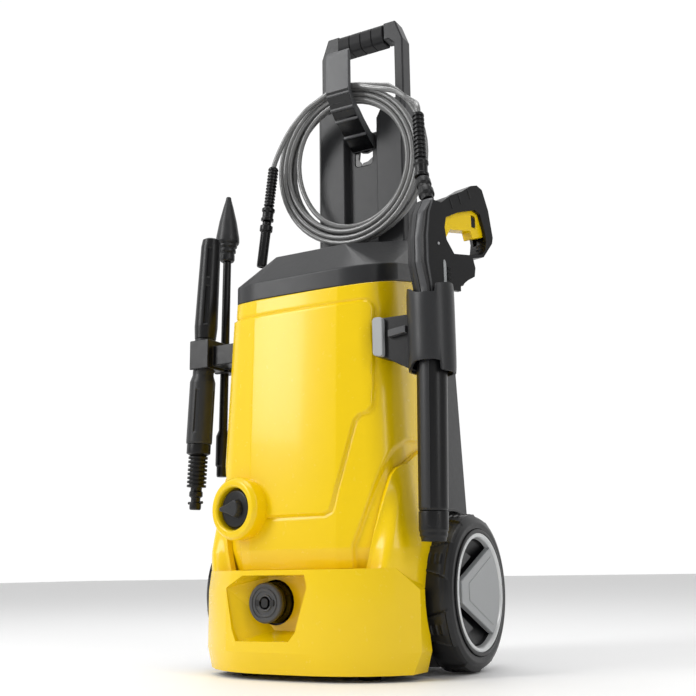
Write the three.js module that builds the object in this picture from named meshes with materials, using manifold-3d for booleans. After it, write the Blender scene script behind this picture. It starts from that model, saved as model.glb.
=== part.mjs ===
// Upright electric pressure washer: a yellow cased pump unit on two wheels, with a telescopic
// handle, a hose coil on its hook, a stored spray gun and two stored lances.
// Units are millimetres, +Z is up, -Y is the front and +X is the side that carries the gun.
// The model is laid out about the machine's own symmetry plane, and moved at the end so that
// the origin is the middle of its footprint, on the floor.
import * as THREE from 'three';
import Module from 'manifold-3d';
import { mergeVertices } from 'three/addons/utils/BufferGeometryUtils.js';
import { ConvexGeometry } from 'three/addons/geometries/ConvexGeometry.js';

const wasm = await Module();
wasm.setup();

// ---------------------------------------------------------------- driving dimensions
const GAP = 0.3;                 // clearance kept between neighbouring pieces
const WALL = 3;                  // moulded wall thickness

const SKIRT_Z = 7;               // bottom edge of the yellow skirt above the floor
const SKIRT_CHAMFER_Z = 30;      // top of the skirt's lower chamfer
const BASE_TOP_Z = 118;          // top of the base on the front
const BAND_Z = 140;              // the upper body is tucked in below this height
const BASE_HALF = 142;           // half-width of the base
const BODY_HALF_LOW = 127;       // half-width of the upper body at BASE_TOP_Z
const BODY_HALF_HIGH = 112;      // half-width of the upper body under the lid
const BODY_FRONT_LOW = 16;       // front face of the upper body at BASE_TOP_Z
const BODY_FRONT_HIGH = 25.5;    // front face of the upper body under the lid
const BODY_CORNER = 45;          // radius of the casing's front corners
const LID_FRONT_Z = 441;         // front lower edge of the lid
const LID_SLOPE = 0.22;          // rise of the lid's lower edge towards the rear
const SPLIT_Y = 136;             // where the front and rear covers meet
const BODY_BACK = 228;           // back face of the rear cover
const TUB_HALF = 108;            // half-width of the chassis tub between the wheels

const AXLE_Y = 160;
const WHEEL_R = 89.65;           // outer radius of the tyre, and the axle's height
const WHEEL_FACE = 169;          // outer face of the wheel
const TYRE_W = 50;
const ARCH_R = 97;               // wheel arch in the covers

const PANEL_HALF = 69.5;         // back panel that guides the handle
const PANEL_FRONT = 190;
const PANEL_BACK = 224.7;
const PANEL_TOP = 754;
const HANDLE_TOP = 876;
const ARM_OUT = 66;              // outer face of the handle's arms
const ARM_W = 13.5;
const ARM_FRONT = 197.5;
const ARM_BACK = 221.5;
const ARM_BOTTOM = 575;          // lower end of the arms, inside the panel
const HANDLE_STROKE = 85;        // the handle's travel with the hose on its hook

const HOSE_D = 7;                // outer diameter of the high-pressure hose

const GUN_TURN = 15;             // the gun's plane is turned this far out, degrees
const GUN_X = 170;
const GUN_Y = 42;

const ARCH_IN = 112;             // the covers are cut away outside this half-width at a wheel
const AXLE_R = 6;
const LID_BAND = 22;             // height of the lid's upright rim
const LID_TOP = 540;
const PANEL_BOTTOM = 440;
const CHANNEL_Y = 202;           // face of the panel's recessed middle
const CHANNEL_HALF = 22;
const CHANNEL_TOP = 716;
const HOLE_Z = 673;              // lower edge of the panel's window
const BAR_Z = 850;               // underside of the handle's bar
const GRIP_HALF = 36;
const HOOK_HALF = 18;

const DIAL_X = -72;
const DIAL_Z = 188;
const DIAL_R = 36.4;
const OUTLET_X = -33;            // high-pressure outlet in the base's pocket
const OUTLET_Z = 82;
const OUTLET_R = 22.5;
const OUTLET_FACE = 11.5;
const POCKET_FLOOR = 33;
const INLET_X = -30;             // water inlet on the back
const INLET_Z = 60;
const GLAND_X = 60;              // mains cable gland on the back
const GLAND_Z = 130;
const MOTOR_Y = 92;              // the motor and pump stand on one upright axis

const GUN_THICK = 24;
const TRIGGER_HALF = 7;
const LOCK_U = 75;

const COLOUR = {
  yellow: 0xf7d70a, black: 0x1c1d1f, dark: 0x2a2c2e, cap: 0x9ea1a3, steel: 0xb8bcc0,
  brass: 0xb08d4a, hose: 0x9b9c9a, rubber: 0x151516, copper: 0x8a5a3a, white: 0xd8d8d4,
};

// ---------------------------------------------------------------- small geometry tools
const group = new THREE.Group();
const rad = (degrees) => degrees * Math.PI / 180;
const v2 = (x, y) => new THREE.Vector2(x, y);
const v3 = (x, y, z) => new THREE.Vector3(x, y, z);

function toSolid(geometry) {
  const bare = geometry.clone();
  bare.deleteAttribute('normal');
  bare.deleteAttribute('uv');
  const merged = mergeVertices(bare, 1e-4);
  return new wasm.Manifold(new wasm.Mesh({
    numProp: 3,
    vertProperties: new Float32Array(merged.attributes.position.array),
    triVerts: new Uint32Array(merged.index.array),
  }));
}

function fromSolid(solid) {
  const mesh = solid.getMesh();
  const geometry = new THREE.BufferGeometry();
  geometry.setAttribute('position', new THREE.BufferAttribute(mesh.vertProperties, 3));
  geometry.setIndex(new THREE.BufferAttribute(mesh.triVerts, 1));
  return geometry;
}

const join = (...parts) => parts.slice(1).reduce((sum, part) => sum.add(part), parts[0]);
const cut = (part, ...tools) => tools.reduce((rest, tool) => rest.subtract(tool), part);

function add(name, shape, colour, roughness = 0.45, metalness = 0) {
  const geometry = shape.isBufferGeometry ? shape : fromSolid(shape);
  const mesh = new THREE.Mesh(geometry,
    new THREE.MeshStandardMaterial({ color: COLOUR[colour], roughness, metalness }));
  mesh.name = name;
  group.add(mesh);
  return mesh;
}

// A box between two corners.
function box(x0, y0, z0, x1, y1, z1) {
  const geometry = new THREE.BoxGeometry(x1 - x0, y1 - y0, z1 - z0);
  geometry.translate((x0 + x1) / 2, (y0 + y1) / 2, (z0 + z1) / 2);
  return toSolid(geometry);
}

// A cylinder or cone between two points.
function rod(from, to, r0, r1 = r0, sides = 24) {
  const axis = new THREE.Vector3().subVectors(to, from);
  const geometry = new THREE.CylinderGeometry(r1, r0, axis.length(), sides);
  geometry.translate(0, axis.length() / 2, 0);
  geometry.applyQuaternion(new THREE.Quaternion().setFromUnitVectors(v3(0, 1, 0),
    axis.clone().normalize()));
  geometry.translate(from.x, from.y, from.z);
  return toSolid(geometry);
}

// A turned shape: profile points are (radius, height) up an axis that runs from `from` to `to`.
function turned(profile, from, to, sides = 32) {
  const geometry = new THREE.LatheGeometry(profile.map(([r, h]) => v2(r, h)), sides);
  const axis = new THREE.Vector3().subVectors(to, from).normalize();
  geometry.applyQuaternion(new THREE.Quaternion().setFromUnitVectors(v3(0, 1, 0), axis));
  geometry.translate(from.x, from.y, from.z);
  const solid = toSolid(geometry);
  return solid;
}

function outlineShape(points) {
  return new THREE.Shape(points.map(([x, y]) => v2(x, y)));
}

// An outline in the XZ plane, extruded along +Y from y0 to y1.
function plateXZ(points, y0, y1) {
  const geometry = new THREE.ExtrudeGeometry(outlineShape(points),
    { depth: y1 - y0, bevelEnabled: false });
  geometry.rotateX(Math.PI / 2);
  geometry.translate(0, y1, 0);
  return toSolid(geometry);
}

// An outline in the YZ plane, extruded along +X from x0 to x1.
function plateYZ(points, x0, x1) {
  const geometry = new THREE.ExtrudeGeometry(outlineShape(points),
    { depth: x1 - x0, bevelEnabled: false });
  geometry.applyMatrix4(new THREE.Matrix4().makeBasis(v3(0, 1, 0), v3(0, 0, 1), v3(1, 0, 0)));
  geometry.translate(x0, 0, 0);
  return toSolid(geometry);
}

// An outline in the XY plane, extruded up from z0 to z1.
function plateXY(points, z0, z1) {
  const geometry = new THREE.ExtrudeGeometry(outlineShape(points),
    { depth: z1 - z0, bevelEnabled: false });
  geometry.translate(0, 0, z0);
  return toSolid(geometry);
}

// A solid through sections of equal point count; each section is a list of 3-D points.
function loft(sections) {
  const count = sections[0].length;
  const positions = sections.flat().flatMap((p) => [p.x, p.y, p.z]);
  const triangles = [];
  for (let s = 0; s < sections.length - 1; s += 1) {
    for (let i = 0; i < count; i += 1) {
      const a = s * count + i;
      const b = s * count + (i + 1) % count;
      triangles.push(a, b, b + count, a, b + count, a + count);
    }
  }
  const caps = THREE.ShapeUtils.triangulateShape(sections[0].map((p) => v2(p.x, p.y)), []);
  const top = (sections.length - 1) * count;
  caps.forEach(([a, b, c]) => {
    triangles.push(c, b, a);
    triangles.push(top + a, top + b, top + c);
  });
  const geometry = new THREE.BufferGeometry();
  geometry.setAttribute('position', new THREE.Float32BufferAttribute(positions, 3));
  geometry.setIndex(triangles);
  return toSolid(geometry);
}

// A round tube along a smooth curve through points.
function tube(points, radius, sides = 8, steps = 12) {
  const curve = new THREE.CatmullRomCurve3(points, false, 'centripetal');
  const ring = new THREE.Shape();
  ring.absarc(0, 0, radius, 0, Math.PI * 2, false);
  return new THREE.ExtrudeGeometry(ring,
    { steps, extrudePath: curve, curveSegments: sides / 2, bevelEnabled: false });
}

const mirrorX = (solid) => solid.mirror([1, 0, 0]);

// ---------------------------------------------------------------- the casing's plan outline
const FACET_TURN = Math.tan(rad(17));
const FLAT_HALF = 58;            // half-width of the flat middle of the front
const BAND_TUCK = 0.25;          // slope of the casing below BAND_Z

// Half of the plan runs from the middle of the front round one corner to the back; the other
// half mirrors it. The corner is an arc that leaves the turned facet and ends along the side.
function plan(half, front, back, corner = BODY_CORNER) {
  const right = [[FLAT_HALF, front]];
  const arcX = half - corner;
  const facetEnd = front + (arcX - FLAT_HALF) * FACET_TURN;
  const arcY = facetEnd + corner * (Math.cos(rad(17)) + Math.sin(rad(17)) * FACET_TURN);
  for (let i = 0; i <= 5; i += 1) {
    const angle = rad(-73 + (i * 73) / 5);
    right.push([arcX + corner * Math.cos(angle), arcY + corner * Math.sin(angle)]);
  }
  right.push([half, back]);
  const left = right.map(([x, y]) => [-x, y]).reverse();
  return [...right, ...left];
}

const rise = (z) => (z - BASE_TOP_Z) / (LID_FRONT_Z - BASE_TOP_Z);
const bodyHalf = (z) => BODY_HALF_LOW + (BODY_HALF_HIGH - BODY_HALF_LOW) * rise(z);
const bodyFront = (z) => BODY_FRONT_LOW + (BODY_FRONT_HIGH - BODY_FRONT_LOW) * rise(z);
const lidEdge = (y) => LID_FRONT_Z + LID_SLOPE * (y - BODY_FRONT_HIGH);

// The casing from z0 to z1, moved inwards by `inset`.
function casing(z0, z1, inset, back) {
  const heights = [z0, BAND_Z, z1].filter((z) => z >= z0 && z <= z1);
  return loft([...new Set(heights)].map((z) => {
    const tuck = z < BAND_Z ? (BAND_Z - z) * BAND_TUCK : 0;
    const outline = plan(bodyHalf(z) - inset - tuck, bodyFront(z) + inset + tuck, back - inset);
    return outline.map(([x, y]) => v3(x, y, z));
  }));
}

// A slab above the lid's slanted lower edge, moved by `lift`; used to trim the covers.
const aboveLid = (lift) => plateYZ([
  [-60, lidEdge(-60) + lift], [320, lidEdge(320) + lift], [320, 700], [-60, 700],
], -200, 200);

// The room that the covers leave for a wheel: round above, with a straight front edge below.
function archTool(side) {
  const round = rod(v3(side * ARCH_IN, AXLE_Y, WHEEL_R), v3(side * 200, AXLE_Y, WHEEL_R), ARCH_R,
    ARCH_R, 48);
  const front = plateYZ([[AXLE_Y - ARCH_R + 1, 84], [83, SKIRT_Z], [84.5, -5], [AXLE_Y, -5],
    [AXLE_Y, 84]], ARCH_IN, 200);
  return join(round, side > 0 ? front : front.mirror([1, 0, 0]));
}

// ---------------------------------------------------------------- base and covers
// The base bulges forwards: its front runs back with the cube of the distance from the middle.
function baseSection(half, nose, z) {
  const steps = 7;
  const right = [];
  for (let i = 1; i <= steps; i += 1) {
    const x = (half * i) / steps;
    right.push([x, nose + 20 * (x / 100) ** 3]);
  }
  right.push([half, 150]);
  const left = right.map(([x, y]) => [-x, y]).reverse();
  return [...right, ...left, [0, nose]].map(([x, y]) => v3(x, y, z));
}

function baseSolid(inset) {
  const drop = inset ? 5 : 0;
  return loft([
    baseSection(BASE_HALF - 9 - inset, 1 + inset, SKIRT_Z - drop),
    baseSection(BASE_HALF - inset, -6 + inset, SKIRT_CHAMFER_Z),
    baseSection(BASE_HALF - inset, -6 + inset, 95),
    baseSection(BASE_HALF - 19 - inset, -6 + inset, BASE_TOP_Z - inset),
  ]);
}

const behind = (y) => box(-300, y, -50, 300, 500, 900);
const COVER_CLEAR = -0.4;        // the base's opening stands this far off the upper body

// The cheeks rise from the base on both sides of the upper body; in front view they end on a
// line that climbs outwards.
function cheeks() {
  const outer = casing(BASE_TOP_Z - 2, 296, -4.5, SPLIT_Y - GAP - 4.5);
  const middle = plateXZ([[-75, 90], [75, 90], [78, 150], [109, 246], [128, 272], [200, 290],
    [0, 400], [-200, 290], [-128, 272], [-109, 246], [-78, 150]], -60, 400);
  return cut(outer, middle);
}

// The pocket for the outlet: a straight mouth, then walls that slant in to its floor.
const POCKET_RIM = [[-64, 41], [10, 42], [18, 51], [33, 99], [30, 112.5], [-54, 112.5], [-82, 99],
  [-71, 54]];
const POCKET_BACK = [[-34, 51], [10, 51], [15, 54], [29, 99], [28, 110], [-43, 110], [-42, 99],
  [-40, 57]];
const POCKET_MOUTH = 6;          // the walls start to slant at this depth
const POCKET_MIDDLE = [-20, 78];

// An outline moved outwards from the pocket's middle.
function grown(points, grow) {
  return points.map(([x, z]) => {
    const away = v2(x - POCKET_MIDDLE[0], z - POCKET_MIDDLE[1]);
    away.setLength(away.length() + grow * 1.3);
    return [POCKET_MIDDLE[0] + away.x, POCKET_MIDDLE[1] + away.y];
  });
}

function pocket(grow) {
  const rim = grown(POCKET_RIM, grow);
  const back = grown(POCKET_BACK, grow);
  const walls = toSolid(new ConvexGeometry([...rim.map(([x, z]) => v3(x, POCKET_MOUTH, z)),
    ...back.map(([x, z]) => v3(x, POCKET_FLOOR + grow, z))]));
  return join(plateXZ(rim, -20, POCKET_MOUTH), walls);
}

function baseCover() {
  const skirt = cut(baseSolid(0), baseSolid(WALL));
  const opening = casing(BASE_TOP_Z - 12, 300, COVER_CLEAR, 400);
  const shell = cut(join(skirt, cheeks()), opening, behind(SPLIT_Y - GAP));
  const pocketWall = cut(pocket(WALL), pocket(0)).intersect(baseSolid(0.8));
  const pocketed = join(cut(shell, pocket(0)), pocketWall);
  const throat = rod(v3(OUTLET_X, -20, OUTLET_Z), v3(OUTLET_X, 70, OUTLET_Z), OUTLET_R + 3);
  const dialRing = rod(dialPoint(-60), dialPoint(60), DIAL_R + GAP, DIAL_R + GAP, 28);
  return cut(pocketed, throat, dialRing, archTool(1), archTool(-1));
}

function frontCover() {
  const shell = cut(casing(BASE_TOP_Z - GAP, 480, 0, SPLIT_Y - GAP),
    casing(BASE_TOP_Z - 30, 520, WALL, 400));
  const dialHole = rod(dialPoint(-30), dialPoint(40), 12);
  return cut(shell, aboveLid(-GAP), dialHole, archTool(1), archTool(-1));
}

function rearCover() {
  const shell = cut(casing(BAND_Z, 500, 0, BODY_BACK), casing(0, 520, WALL, BODY_BACK),
    box(-300, -100, -50, 300, SPLIT_Y, 900));
  const backPlate = box(-ARCH_IN + GAP, BODY_BACK - WALL, SKIRT_CHAMFER_Z, ARCH_IN - GAP,
    BODY_BACK, BAND_Z + 5);
  const holes = [
    rod(v3(INLET_X, 200, INLET_Z), v3(INLET_X, 240, INLET_Z), 8),
    rod(v3(GLAND_X, 200, GLAND_Z), v3(GLAND_X, 240, GLAND_Z), 5),
  ];
  return cut(join(shell, backPlate), aboveLid(-GAP), ...holes, archTool(1), archTool(-1));
}

function chassis() {
  const tub = cut(box(-TUB_HALF, 38, 8, TUB_HALF, 220, 185),
    box(-TUB_HALF + WALL, 41, 8 + WALL, TUB_HALF - WALL, 217, 200),
    box(-200, 0, 60, 200, 50, 200), box(-90, 200, 40, 90, 240, 200));
  const liner = (side) => cut(
    rod(v3(side * (TUB_HALF - 1), AXLE_Y, WHEEL_R), v3(side * 136, AXLE_Y, WHEEL_R), ARCH_R - GAP,
      ARCH_R - GAP, 48),
    rod(v3(side * (TUB_HALF - 2), AXLE_Y, WHEEL_R), v3(side * 300, AXLE_Y, WHEEL_R), ARCH_R - 3.3,
      ARCH_R - 3.3, 48),
    box(-300, AXLE_Y + 30, 0, 300, 400, 400), box(-300, -100, -50, 300, 400, 10),
  );
  const bore = rod(v3(-200, AXLE_Y, WHEEL_R), v3(200, AXLE_Y, WHEEL_R), AXLE_R + GAP);
  return cut(join(tub, liner(1), liner(-1)), bore);
}

// ---------------------------------------------------------------- lid
function lidHull(inset, drop) {
  const points = [];
  plan(BODY_HALF_HIGH - inset, BODY_FRONT_HIGH + inset, BODY_BACK - inset).forEach(([x, y]) => {
    points.push(v3(x, y, lidEdge(y) - drop), v3(x, y, lidEdge(y) + LID_BAND - inset));
  });
  [[50, 58], [88, 188], [88, 215]].forEach(([x, y]) => {
    const z = Math.min(504 + (y - 58) * 0.3, LID_TOP) - inset;
    points.push(v3(x - inset, y, z), v3(-x + inset, y, z));
  });
  return toSolid(new ConvexGeometry(points));
}

const lid = () => cut(lidHull(0, 0), lidHull(WALL, 12),
  box(-PANEL_HALF - GAP, PANEL_FRONT - GAP, 300, PANEL_HALF + GAP, 400, 900));

// ---------------------------------------------------------------- back panel, handle and hook
function backPanel() {
  const block = plateXY([[-PANEL_HALF, PANEL_BACK], [-PANEL_HALF, PANEL_FRONT + 5],
    [-PANEL_HALF + 5, PANEL_FRONT], [-CHANNEL_HALF - 4, PANEL_FRONT], [-CHANNEL_HALF, CHANNEL_Y],
    [CHANNEL_HALF, CHANNEL_Y], [CHANNEL_HALF + 4, PANEL_FRONT], [PANEL_HALF - 5, PANEL_FRONT],
    [PANEL_HALF, PANEL_FRONT + 5], [PANEL_HALF, PANEL_BACK]].reverse(), PANEL_BOTTOM, PANEL_TOP);
  const slotFloor = ARM_BOTTOM - HANDLE_STROKE - 5;
  const slot = (side) => {
    const a = side * (ARM_OUT - ARM_W - 0.5);
    const b = side * (ARM_OUT + 0.5);
    return box(Math.min(a, b), ARM_FRONT - 0.5, slotFloor, Math.max(a, b), ARM_BACK + 0.5, 900);
  };
  const edge = CHANNEL_HALF + 4;
  const channelTop = box(-edge, 100, CHANNEL_TOP, edge, 300, 900);
  const window = plateXZ([[-15, HOLE_Z], [-11, HOLE_Z - 4], [9, HOLE_Z - 4], [13, HOLE_Z],
    [13, HOLE_Z + 18], [9, HOLE_Z + 22], [-11, HOLE_Z + 22], [-15, HOLE_Z + 18]], 150, 260);
  const backRelief = box(-46, 208, PANEL_BOTTOM + 10, 46, 300, CHANNEL_TOP - 12);
  const cornerCut = plateXZ([[edge, PANEL_TOP - 24], [edge + 13, PANEL_TOP],
    [edge + 13, PANEL_TOP + 10], [edge - 6, PANEL_TOP + 10]], 150, 260);
  return cut(block, slot(1), slot(-1), channelTop, window, backRelief, cornerCut,
    mirrorX(cornerCut));
}

function handleFrame() {
  const inner = ARM_OUT - ARM_W;
  const frame = plateXZ([[-ARM_OUT, ARM_BOTTOM], [-inner, ARM_BOTTOM], [-inner, BAR_Z - 8],
    [-inner + 8, BAR_Z], [inner - 8, BAR_Z], [inner, BAR_Z - 8], [inner, ARM_BOTTOM],
    [ARM_OUT, ARM_BOTTOM], [ARM_OUT, HANDLE_TOP - 30], [ARM_OUT - 11, HANDLE_TOP],
    [-ARM_OUT + 11, HANDLE_TOP], [-ARM_OUT, HANDLE_TOP - 30]], ARM_FRONT, ARM_BACK);
  const core = box(-GRIP_HALF, ARM_FRONT + 4, BAR_Z + 5, GRIP_HALF, ARM_BACK - 4, HANDLE_TOP - 5);
  const ring = cut(box(-GRIP_HALF, 150, BAR_Z - 20, GRIP_HALF, 260, HANDLE_TOP + 20), core);
  return cut(frame, ring);
}

function handleGrip() {
  const w = GRIP_HALF - GAP;
  const outer = plateYZ([[ARM_FRONT - 3, BAR_Z + 4], [ARM_FRONT + 3, BAR_Z - 3],
    [ARM_BACK - 3, BAR_Z - 3], [ARM_BACK + 2, BAR_Z + 4], [ARM_BACK + 2, HANDLE_TOP - 6],
    [ARM_BACK - 3, HANDLE_TOP], [ARM_FRONT + 3, HANDLE_TOP], [ARM_FRONT - 3, HANDLE_TOP - 6]],
  -w, w);
  return cut(outer, box(-60, ARM_FRONT + 3.7, BAR_Z + 4.7, 60, ARM_BACK - 3.7,
    HANDLE_TOP - 4.7));
}

// The hook in side view: an arm that climbs forwards from the panel, then an upright plate.
const hoseHook = () => plateYZ([[CHANNEL_Y - GAP, 690], [CHANNEL_Y - GAP, 712], [190, 712],
  [170, 724], [158, 733], [149, 737], [141, 741], [135, 752], [135, 806], [131.5, 811],
  [128.5, 806], [128, 750], [136, 737], [143, 727.5], [150, 721.5]], -HOOK_HALF, HOOK_HALF);

// ---------------------------------------------------------------- dial
const DIAL_AXIS = v3(-Math.sin(rad(9)), -Math.cos(rad(9)), 0);
// A point on the dial's axis; `out` is measured forwards from the face of the ring.
function dialPoint(out) {
  return v3(DIAL_X, 0, DIAL_Z).addScaledVector(DIAL_AXIS, out);
}

function dialBezel() {
  const ring = turned([[0, 0], [DIAL_R, 0], [DIAL_R, 30], [33, 34], [26, 34], [24.5, 32], [24.5, 22],
    [0, 22]], dialPoint(-34), dialPoint(0), 28);
  return cut(ring, casing(50, 300, -GAP, 400), rod(dialPoint(-60), dialPoint(10), 5.5));
}

function dialKnob() {
  const disc = turned([[0, 0], [22.5, 0], [22.5, 8], [20, 10], [0, 10]], dialPoint(-11),
    dialPoint(0), 32);
  const stem = rod(dialPoint(-38), dialPoint(-10), 5, 5, 12);
  const wedge = toSolid(new ConvexGeometry([[-19, -4, 0], [-19, 4, 0], [6, -11, 0], [6, 11, 0],
    [-19, -2, 7], [-19, 2, 7], [5, -9, 9], [5, 9, 9]].map(([a, b, h]) => dialPoint(h - 4)
    .add(v3(a * Math.cos(rad(9)), -a * Math.sin(rad(9)), b)))));
  return join(disc, stem, wedge);
}

// ---------------------------------------------------------------- water fittings
const outletCoupling = () => turned([[0, 0], [20, 0], [20, 16], [OUTLET_R, 18], [OUTLET_R, 34],
  [20, 36], [9, 36], [9, 14], [0, 14]], v3(OUTLET_X, OUTLET_FACE + 36, OUTLET_Z),
v3(OUTLET_X, 0, OUTLET_Z));

const inletCoupling = () => turned([[8, 0], [17, 0], [17, 4], [13, 5], [13, 20], [9, 28],
  [6.8, 28], [6.8, 4], [8, 0]], v3(INLET_X, BODY_BACK + GAP, INLET_Z), v3(INLET_X, 400, INLET_Z),
24);

const inletFilter = () => turned([[0, 0], [6.3, 0], [6.3, 3], [4, 3.5], [2.5, 16], [0, 16]],
  v3(INLET_X, BODY_BACK + 8, INLET_Z), v3(INLET_X, 400, INLET_Z), 16);

const cableGland = () => turned([[2.9, 0], [9, 0], [9, 4], [7, 5], [5, 26], [2.9, 26], [2.9, 0]],
  v3(GLAND_X, BODY_BACK + GAP, GLAND_Z), v3(GLAND_X, 400, GLAND_Z), 16);

// ---------------------------------------------------------------- pump and motor
const up = (z) => v3(0, MOTOR_Y, z);

function pumpHead() {
  const block = join(box(-42, 48, 40, 42, 134, 84), rod(up(80), up(98), 42, 42, 32));
  const bores = pistonPlaces().map(([x, y]) => rod(v3(x, y, 70), v3(x, y, 120), 6.4, 6.4, 12));
  return cut(block, ...bores);
}

function pistonPlaces() {
  return [0, 1, 2].map((i) => {
    const angle = rad(90 + i * 120);
    return [26 * Math.cos(angle), MOTOR_Y + 26 * Math.sin(angle)];
  });
}

const pumpHousing = () => turned([[38, 0], [44, 0], [44, 44], [50, 48], [50, 52], [41, 52],
  [41, 6], [38, 5], [38, 0]], up(98.4), up(300), 20);

function wobblePlate() {
  const disc = rod(up(121), up(142), 34, 34, 32);
  const under = plateYZ([[0, 100], [0, 122], [200, 134], [200, 100]], -100, 100);
  return cut(disc, under, rod(up(90), up(200), 6.3, 6.3, 16));
}

const motorHousing = () => turned([[8, 0], [54, 0], [54, 140], [46, 150], [8, 150], [8, 144],
  [34, 140], [34, 10], [8, 6], [8, 0]], up(151), up(400), 20);

const motorRotor = () => join(rod(up(118), up(330), 6, 6, 16), rod(up(170), up(282), 31, 31, 24));

function coolingFan() {
  const blades = [];
  for (let i = 0; i < 7; i += 1) {
    const blade = box(8, -1, 0, 46, 1, 16).rotate([0, 0, (i * 360) / 7])
      .translate([0, MOTOR_Y, 306]);
    blades.push(blade);
  }
  return cut(join(rod(up(306), up(309), 46, 46, 28), rod(up(306), up(324), 12, 12, 16), ...blades),
    rod(up(290), up(340), 6.3, 6.3, 16));
}

// ---------------------------------------------------------------- wheels
// Profiles are (radius, distance outwards from the wheel's inner face).
const WHEEL_IN = WHEEL_FACE - TYRE_W;
const wheelAt = (side, out) => v3(side * (WHEEL_IN + out), AXLE_Y, WHEEL_R);
const wheelPart = (profile, side, sides) => turned(profile, wheelAt(side, 0), wheelAt(side, 100),
  sides);

function addWheel(side, label) {
  add(`tyre_${label}`, wheelPart([[62.3, 3], [78, 0], [86, 3], [WHEEL_R, 12], [WHEEL_R, 38],
    [86, 46], [78, 48], [72.2, 47], [72.2, 42], [62.3, 41], [62.3, 3]], side, 40),
  'rubber', 0.85);
  add(`rim_${label}`, wheelPart([[6.6, 6], [14, 6], [18, 16], [61.9, 12], [61.9, 41.5],
    [71.7, 43], [71.7, 48.5], [67.5, 48.5], [60, 38], [14, 32], [6.6, 32], [6.6, 6]], side, 28),
  'black', 0.5);
  add(`hub_cap_${label}`, wheelPart([[0, 42], [60, 42], [66.5, 48.8], [62, TYRE_W], [0, TYRE_W]],
    side, 32), 'cap', 0.35);
  add(`axle_clip_${label}`, cut(rod(wheelAt(side, 32.4), wheelAt(side, 35), 11, 11, 16),
    rod(wheelAt(side, 20), wheelAt(side, 45), AXLE_R + GAP, AXLE_R + GAP, 16)), 'steel', 0.3, 1);
}

// ---------------------------------------------------------------- stored spray gun
// The gun is drawn in its own plane: u runs from the barrel's axis out to the grip, and the
// plane is turned about the vertical through the barrel.
function gunPlate(points, thickness) {
  return plateYZ(points, -thickness / 2, thickness / 2)
    .rotate([0, 0, -GUN_TURN]).translate([GUN_X, GUN_Y, 0]);
}

const gunPoint = (u, z, side = 0) => v3(
  GUN_X + u * Math.sin(rad(GUN_TURN)) + side * Math.cos(rad(GUN_TURN)),
  GUN_Y + u * Math.cos(rad(GUN_TURN)) - side * Math.sin(rad(GUN_TURN)),
  z,
);

function gunBody() {
  const profile = gunPlate([[-15, 402], [14, 402], [16, 424.6], [40, 427], [40, 433], [54, 443],
    [67, 450], [69, 461], [65, 472], [86, 478], [104, 499], [106, 507], [99, 540], [88, 564],
    [78, 567], [66, 563], [48, 551], [26, 540], [9, 527], [-8, 527], [-18, 510], [-24, 480],
    [-24, 450], [-17, 424]], GUN_THICK);
  const window = gunPlate([[17, 511], [14, 498], [17, 484], [30, 470], [66, 476], [84, 481],
    [90, 488], [92, 500], [90, 512], [82, 531], [72, 534], [40, 523]], 60);
  const slot = gunPlate([[15, 490], [60, 490], [96, 498], [97, 512], [96, 540], [88, 549],
    [76, 549], [44, 536], [15, 514]], 2 * TRIGGER_HALF + 1.4);
  const button = gunPlate([[34, 415], [56, 415], [56, 446.8], [34, 446.8]], 14);
  const gallery = rod(gunPoint(0, 380), gunPoint(0, 430), 5, 5, 12);
  return cut(profile, window, slot, button, gallery);
}

function gunTrigger() {
  const lever = gunPlate([[19, 492], [22, 488], [31, 501], [69, 508], [72, 499], [94, 506],
    [95, 512], [92, 535], [84, 540], [78, 540], [46, 529], [22, 516], [17, 508]],
  2 * TRIGGER_HALF);
  const socket = gunPlate([[LOCK_U - 4.3, 514], [LOCK_U + 4.3, 514], [LOCK_U + 4.3, 529],
    [LOCK_U - 4.3, 529]], 60);
  return cut(lever, socket);
}

const triggerLock = () => gunPlate([[LOCK_U - 4, 514.4], [LOCK_U + 4, 514.4],
  [LOCK_U + 4, 527.4], [LOCK_U - 4, 527.4]], 2 * TRIGGER_HALF - 0.6);

const releaseButton = () => gunPlate([[37, 437], [52, 437], [55, 441], [55, 446.4], [37, 446.4]],
  13);

const BARREL_TOP = v3(GUN_X, GUN_Y, 401.6);
const BARREL_END = v3(GUN_X - 5, GUN_Y, 177);

function gunHolder() {
  const at = (z) => v3(GUN_X - 1, GUN_Y, z);
  return cut(rod(at(330), at(424), 27, 27, 32), rod(at(300), at(440), 22.8, 22.8, 32));
}

function gunBracket() {
  const arm = join(box(104, 22, 348, 147, 58, 396), toSolid(new ConvexGeometry([
    v3(112, 30, 360), v3(112, 56, 360), v3(150, 30, 332), v3(150, 56, 332),
    v3(112, 30, 392), v3(112, 56, 392), v3(150, 30, 396), v3(150, 56, 396)])));
  return cut(arm, casing(200, 500, -GAP, 400),
    rod(v3(GUN_X - 1, GUN_Y, 300), v3(GUN_X - 1, GUN_Y, 440), 27 + GAP, 27 + GAP, 32));
}

function barrelCollar() {
  const end = v3(GUN_X - 5.7, GUN_Y, 145);
  const axis = new THREE.Vector3().subVectors(end, BARREL_END).normalize();
  const top = BARREL_END.clone().addScaledVector(axis, GAP);
  return cut(rod(top, end, 16, 13.5, 24),
    rod(v3(end.x, end.y, 150), v3(end.x, end.y, 130), 9, 9, 16),
    box(end.x - 5, 0, 162, end.x + 5, 34, 172));
}

// ---------------------------------------------------------------- stored lances
const VARIO_LOW = v3(-181, 70, 194);
const VARIO_HIGH = v3(-163, 70, 551);
const ROTARY_LOW = v3(-165, 104, 237);
const ROTARY_HIGH = v3(-161, 104, 622);

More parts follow.
